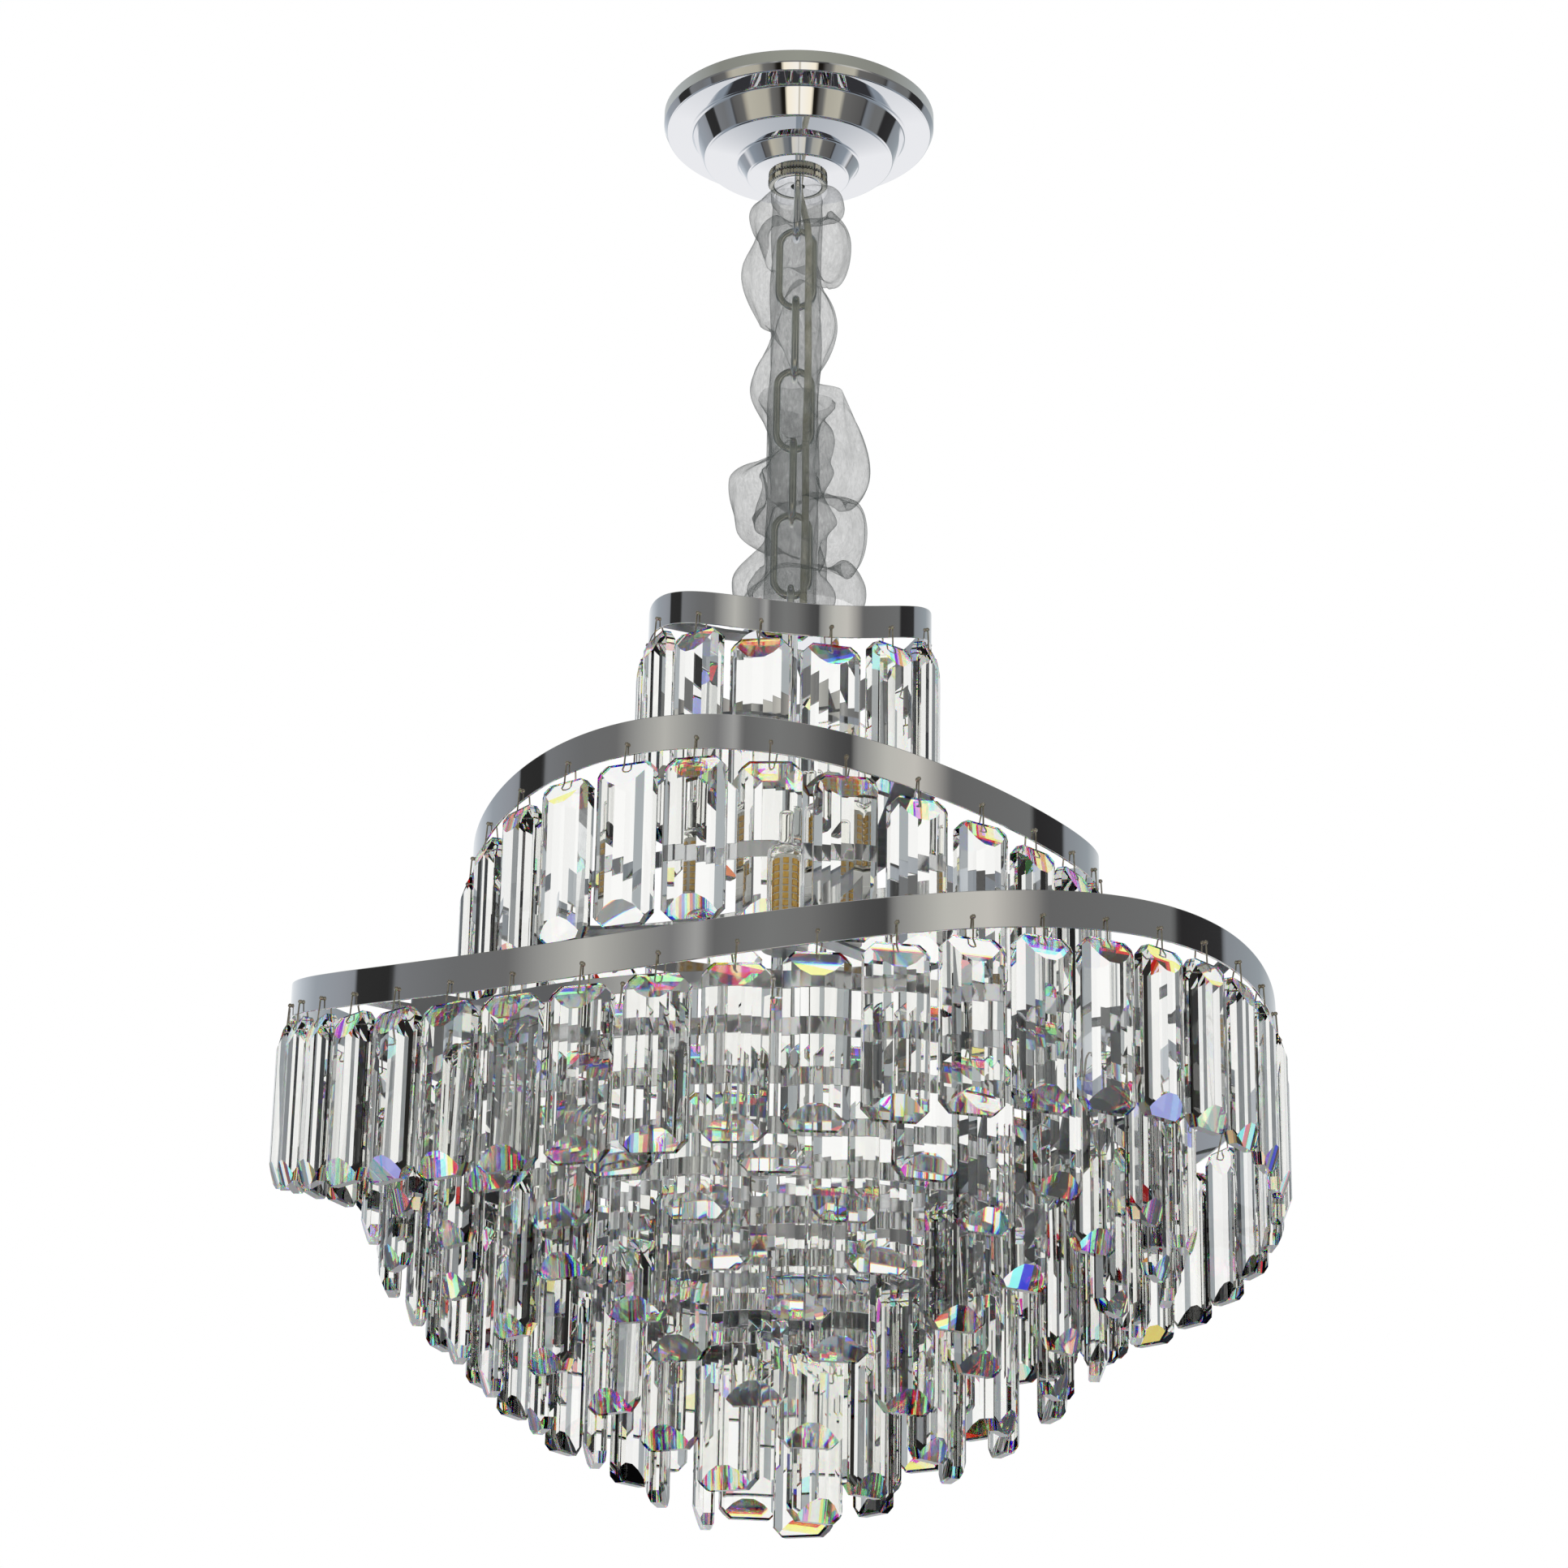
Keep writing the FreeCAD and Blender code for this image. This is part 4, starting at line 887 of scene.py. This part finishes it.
def pin_wire():
    """Drawn wire with a warm tone."""
    material, tree, output = new_material("bright_steel_wire")
    tone = ramp_node(tree, noise(tree, 3 * MM), ((0.35, "#b5aa98"), (0.65, "#ddd6c8")))
    wire = add_node(tree, "ShaderNodeBsdfPrincipled", {
        "Base Color": tone, "Metallic": 1.0, "Roughness": 0.22})
    finish_material(tree, output, wire)
    return material


def ball(centre, radius, rows=5, count=8):
    """A small ball as rows of corners, closed at both poles."""
    corners = [centre + Vector((0, 0, radius))]
    for i in range(1, rows):
        turn = math.pi * i / rows
        for j in range(count):
            angle = 2 * math.pi * j / count
            way = Vector((math.cos(angle) * math.sin(turn), math.sin(angle) * math.sin(turn), math.cos(turn)))
            corners.append(centre + way * radius)
    corners.append(centre - Vector((0, 0, radius)))
    faces = [(0, 1 + j, 1 + (j + 1) % count) for j in range(count)]
    for i in range(rows - 2):
        a, b = 1 + i * count, 1 + (i + 1) * count
        faces += [(a + j, b + j, b + (j + 1) % count, a + (j + 1) % count) for j in range(count)]
    last = len(corners) - 1
    faces += [(last, last - count + (j + 1) % count, last - count + j) for j in range(count)]
    return corners, faces


def hook(hole, wall, gap, lean):
    """One hook about its hole's foot: a head, a leg in front, a bend through the crystal and a leg behind."""
    front = -wall / 2 - HEAD_RADIUS * 0.8
    low = -gap - HOOK_REACH
    path = [(0, wall / 2 + 0.5, hole), (0, front, hole - 0.1), (-0.2, front - 0.2, hole - 1.2),
            (-0.5, -2.2, low + 3.5), (-0.3, -3.9, low + 0.8), (0, -3.6, low), (0, 0, low - 0.3), (0, 3.9, low),
            (lean * 0.4, 4.2, low + 1), (lean * 0.9, 2.2, hole - 2), (lean, 1.4, hole),
            (lean * 0.6, wall / 2 + 0.9, hole + 0.9), (0, wall / 2 + 0.6, hole)]
    return joined([wire_shell(path, PIN_RADIUS, 6), ball(Vector((0, front + 0.1, hole)), HEAD_RADIUS)])


pins = []
for name, node, radius, count, first, foot, hole, wall in HANGINGS:
    for angle, height, gap in hang_places(radius, count, first, foot):
        lean = shake.choice((-1, 1)) * shake.uniform(2.2, 3.6)
        pins.append(set_out(hook(hole, wall, gap, lean), radius, angle, height))
hooks = make_piece("hairpin_hooks", *joined(pins), pin_wire(), 50)
carry(hooks, "lamp", "hook_wire", "crystal_hooks")


# ---- Lamp holders: turned cups of white moulded plastic that stand on the ribs and the middle arms.
HOLDER_RADIUS = 10.5
HOLDER_HEIGHT = 12
HOLDER_BORE = 7.2
LOW_LAMP_REACH = 176
LOW_LAMP_SEAT = -514
TOP_LAMP_REACH = 46
TOP_LAMP_SEAT = -450
LAMP_PLACES = [(LOW_LAMP_REACH, math.radians(turn), LOW_LAMP_SEAT) for turn in (0, 120, 240)]
LAMP_PLACES += [(TOP_LAMP_REACH, math.radians(turn), TOP_LAMP_SEAT) for turn in (21.5, 141.5, 261.5)]


def moved(shell, radius, angle, height):
    """A shell in metres, moved to a place round the axis."""
    place = Vector((radius * math.sin(angle), -radius * math.cos(angle), height)) * MM
    return [Vector(corner) + place for corner in shell[0]], shell[1]


cup = turned((
    (2, 0, 0), (HOLDER_RADIUS, 0, 1), (HOLDER_RADIUS, 4, 0.3), (HOLDER_RADIUS - 0.7, 4.6, 0.2),
    (HOLDER_RADIUS - 0.7, HOLDER_HEIGHT, 0.8), (HOLDER_BORE, HOLDER_HEIGHT, 0.5), (HOLDER_BORE, 3, 0.3),
    (2, 3, 0)), 48, 3)
holders = make_piece("lamp_cups", *joined([moved(cup, *place) for place in LAMP_PLACES]),
                     moulded("white_thermoset", "#dcdcd8", 0.35, 0.8 * MM), 40)
carry(holders, "lamp", "holder_plastic", "lamp_holders")


# ---- Lamps: a metal cap, a white core with upright rows of yellow light chips and a clear domed cover. They
# show as golden strips through the crystals.
CHIP_COLUMNS = 8
CHIP_ROWS = 8
CHIP_FOOT = 13
CHIP_PITCH = 3.3
CHIP_HEIGHT = 2.5
CHIP_HALF = 1.3
CORE_RADIUS = 5.6
COVER_RADIUS = 8.4
BULB_BOTTOM = 3.4
BULB_LENGTH = 62


def chip_yellow():
    """The yellow gel over the light chips, unlit."""
    material, tree, output = new_material("phosphor_gel")
    tone = ramp_node(tree, noise(tree, 2 * MM), ((0.3, "#f0b040"), (0.7, "#ffd97a")))
    gel = add_node(tree, "ShaderNodeBsdfPrincipled", {
        "Base Color": tone, "Roughness": 0.35, "Subsurface Weight": 0.1, "Subsurface Scale": 1 * MM})
    finish_material(tree, output, gel)
    return material


def clear_cover():
    """Clear moulded plastic, thin enough to bend light only a little."""
    material, tree, output = new_material("clear_polycarbonate")
    rough = ranged(tree, noise(tree, 6 * MM), 0.0, 0.06)
    cover = add_node(tree, "ShaderNodeBsdfPrincipled", {
        "Base Color": colour("#fbfbf8"), "Roughness": rough, "IOR": 1.1, "Transmission Weight": 1.0})
    finish_material(tree, output, cover)
    return material


def chip(column, row):
    """One light chip, a flat block on a face of the core."""
    angle = 2 * math.pi * column / CHIP_COLUMNS
    foot = CHIP_FOOT + row * CHIP_PITCH
    corners = []
    for up in (foot, foot + CHIP_HEIGHT):
        for out in (CORE_RADIUS - 0.2, CORE_RADIUS + 0.5):
            for side in (-CHIP_HALF, CHIP_HALF):
                corners.append(Matrix.Rotation(angle, 3, "Z") @ Vector((side, -out, up)) * MM)
    return corners, [(0, 1, 3, 2), (4, 6, 7, 5), (0, 4, 5, 1), (2, 3, 7, 6), (0, 2, 6, 4), (1, 5, 7, 3)]


nickel = chrome("nickel_plate", "#c8c3b6", 0.15)
core_paint = moulded("white_circuit_board", "#e9e8e2", 0.4, 0.5 * MM)
chips = chip_yellow()
cover_plastic = clear_cover()
cap = turned(((1, 0, 0), (6.6, 0, 0.6), (6.6, 10, 0.2), (8.4, 10.6, 0.4), (8.4, 12, 0.3), (1, 12, 0)), 40, 2)
core = turned(((0.6, 12, 0), (CORE_RADIUS, 12, 0), (CORE_RADIUS, 41, 0.6), (0.6, 41, 0)), CHIP_COLUMNS, 1)
cover = turned(((COVER_RADIUS - 0.8, 12, 0), (COVER_RADIUS, 12, 0), (COVER_RADIUS, 44, 3), (3.4, 46, 3),
                (3.4, BULB_LENGTH, 2.6), (0.3, BULB_LENGTH, 0), (0.3, BULB_LENGTH - 0.8, 0),
                (2.6, BULB_LENGTH - 0.8, 1.8), (2.6, 45.2, 2), (COVER_RADIUS - 0.8, 43.2, 2)), 40, 5)
chip_shell = joined([chip(column, row) for column in range(CHIP_COLUMNS) for row in range(CHIP_ROWS)])
for number, (radius, angle, seat) in enumerate(LAMP_PLACES, 1):
    shells = [moved(shell, radius, angle, seat + BULB_BOTTOM) for shell in (cap, core, chip_shell, cover)]
    corners, faces = joined(shells)
    bulb = make_piece("corn_lamp_%d" % number, corners, faces, nickel, 35)
    first_face = len(shells[0][1])
    for material, shell in zip((core_paint, chips, cover_plastic), shells[1:]):
        bulb.data.materials.append(material)
        for face in bulb.data.polygons[first_face:first_face + len(shell[1])]:
            face.material_index = len(bulb.data.materials) - 1
        first_face += len(shell[1])
    carry(bulb, "bulb_%d" % number, "bulb_cover", "bulb_%d" % number)


boxes = [[list(corner) for corner in box] for box in (cad_box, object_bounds())]
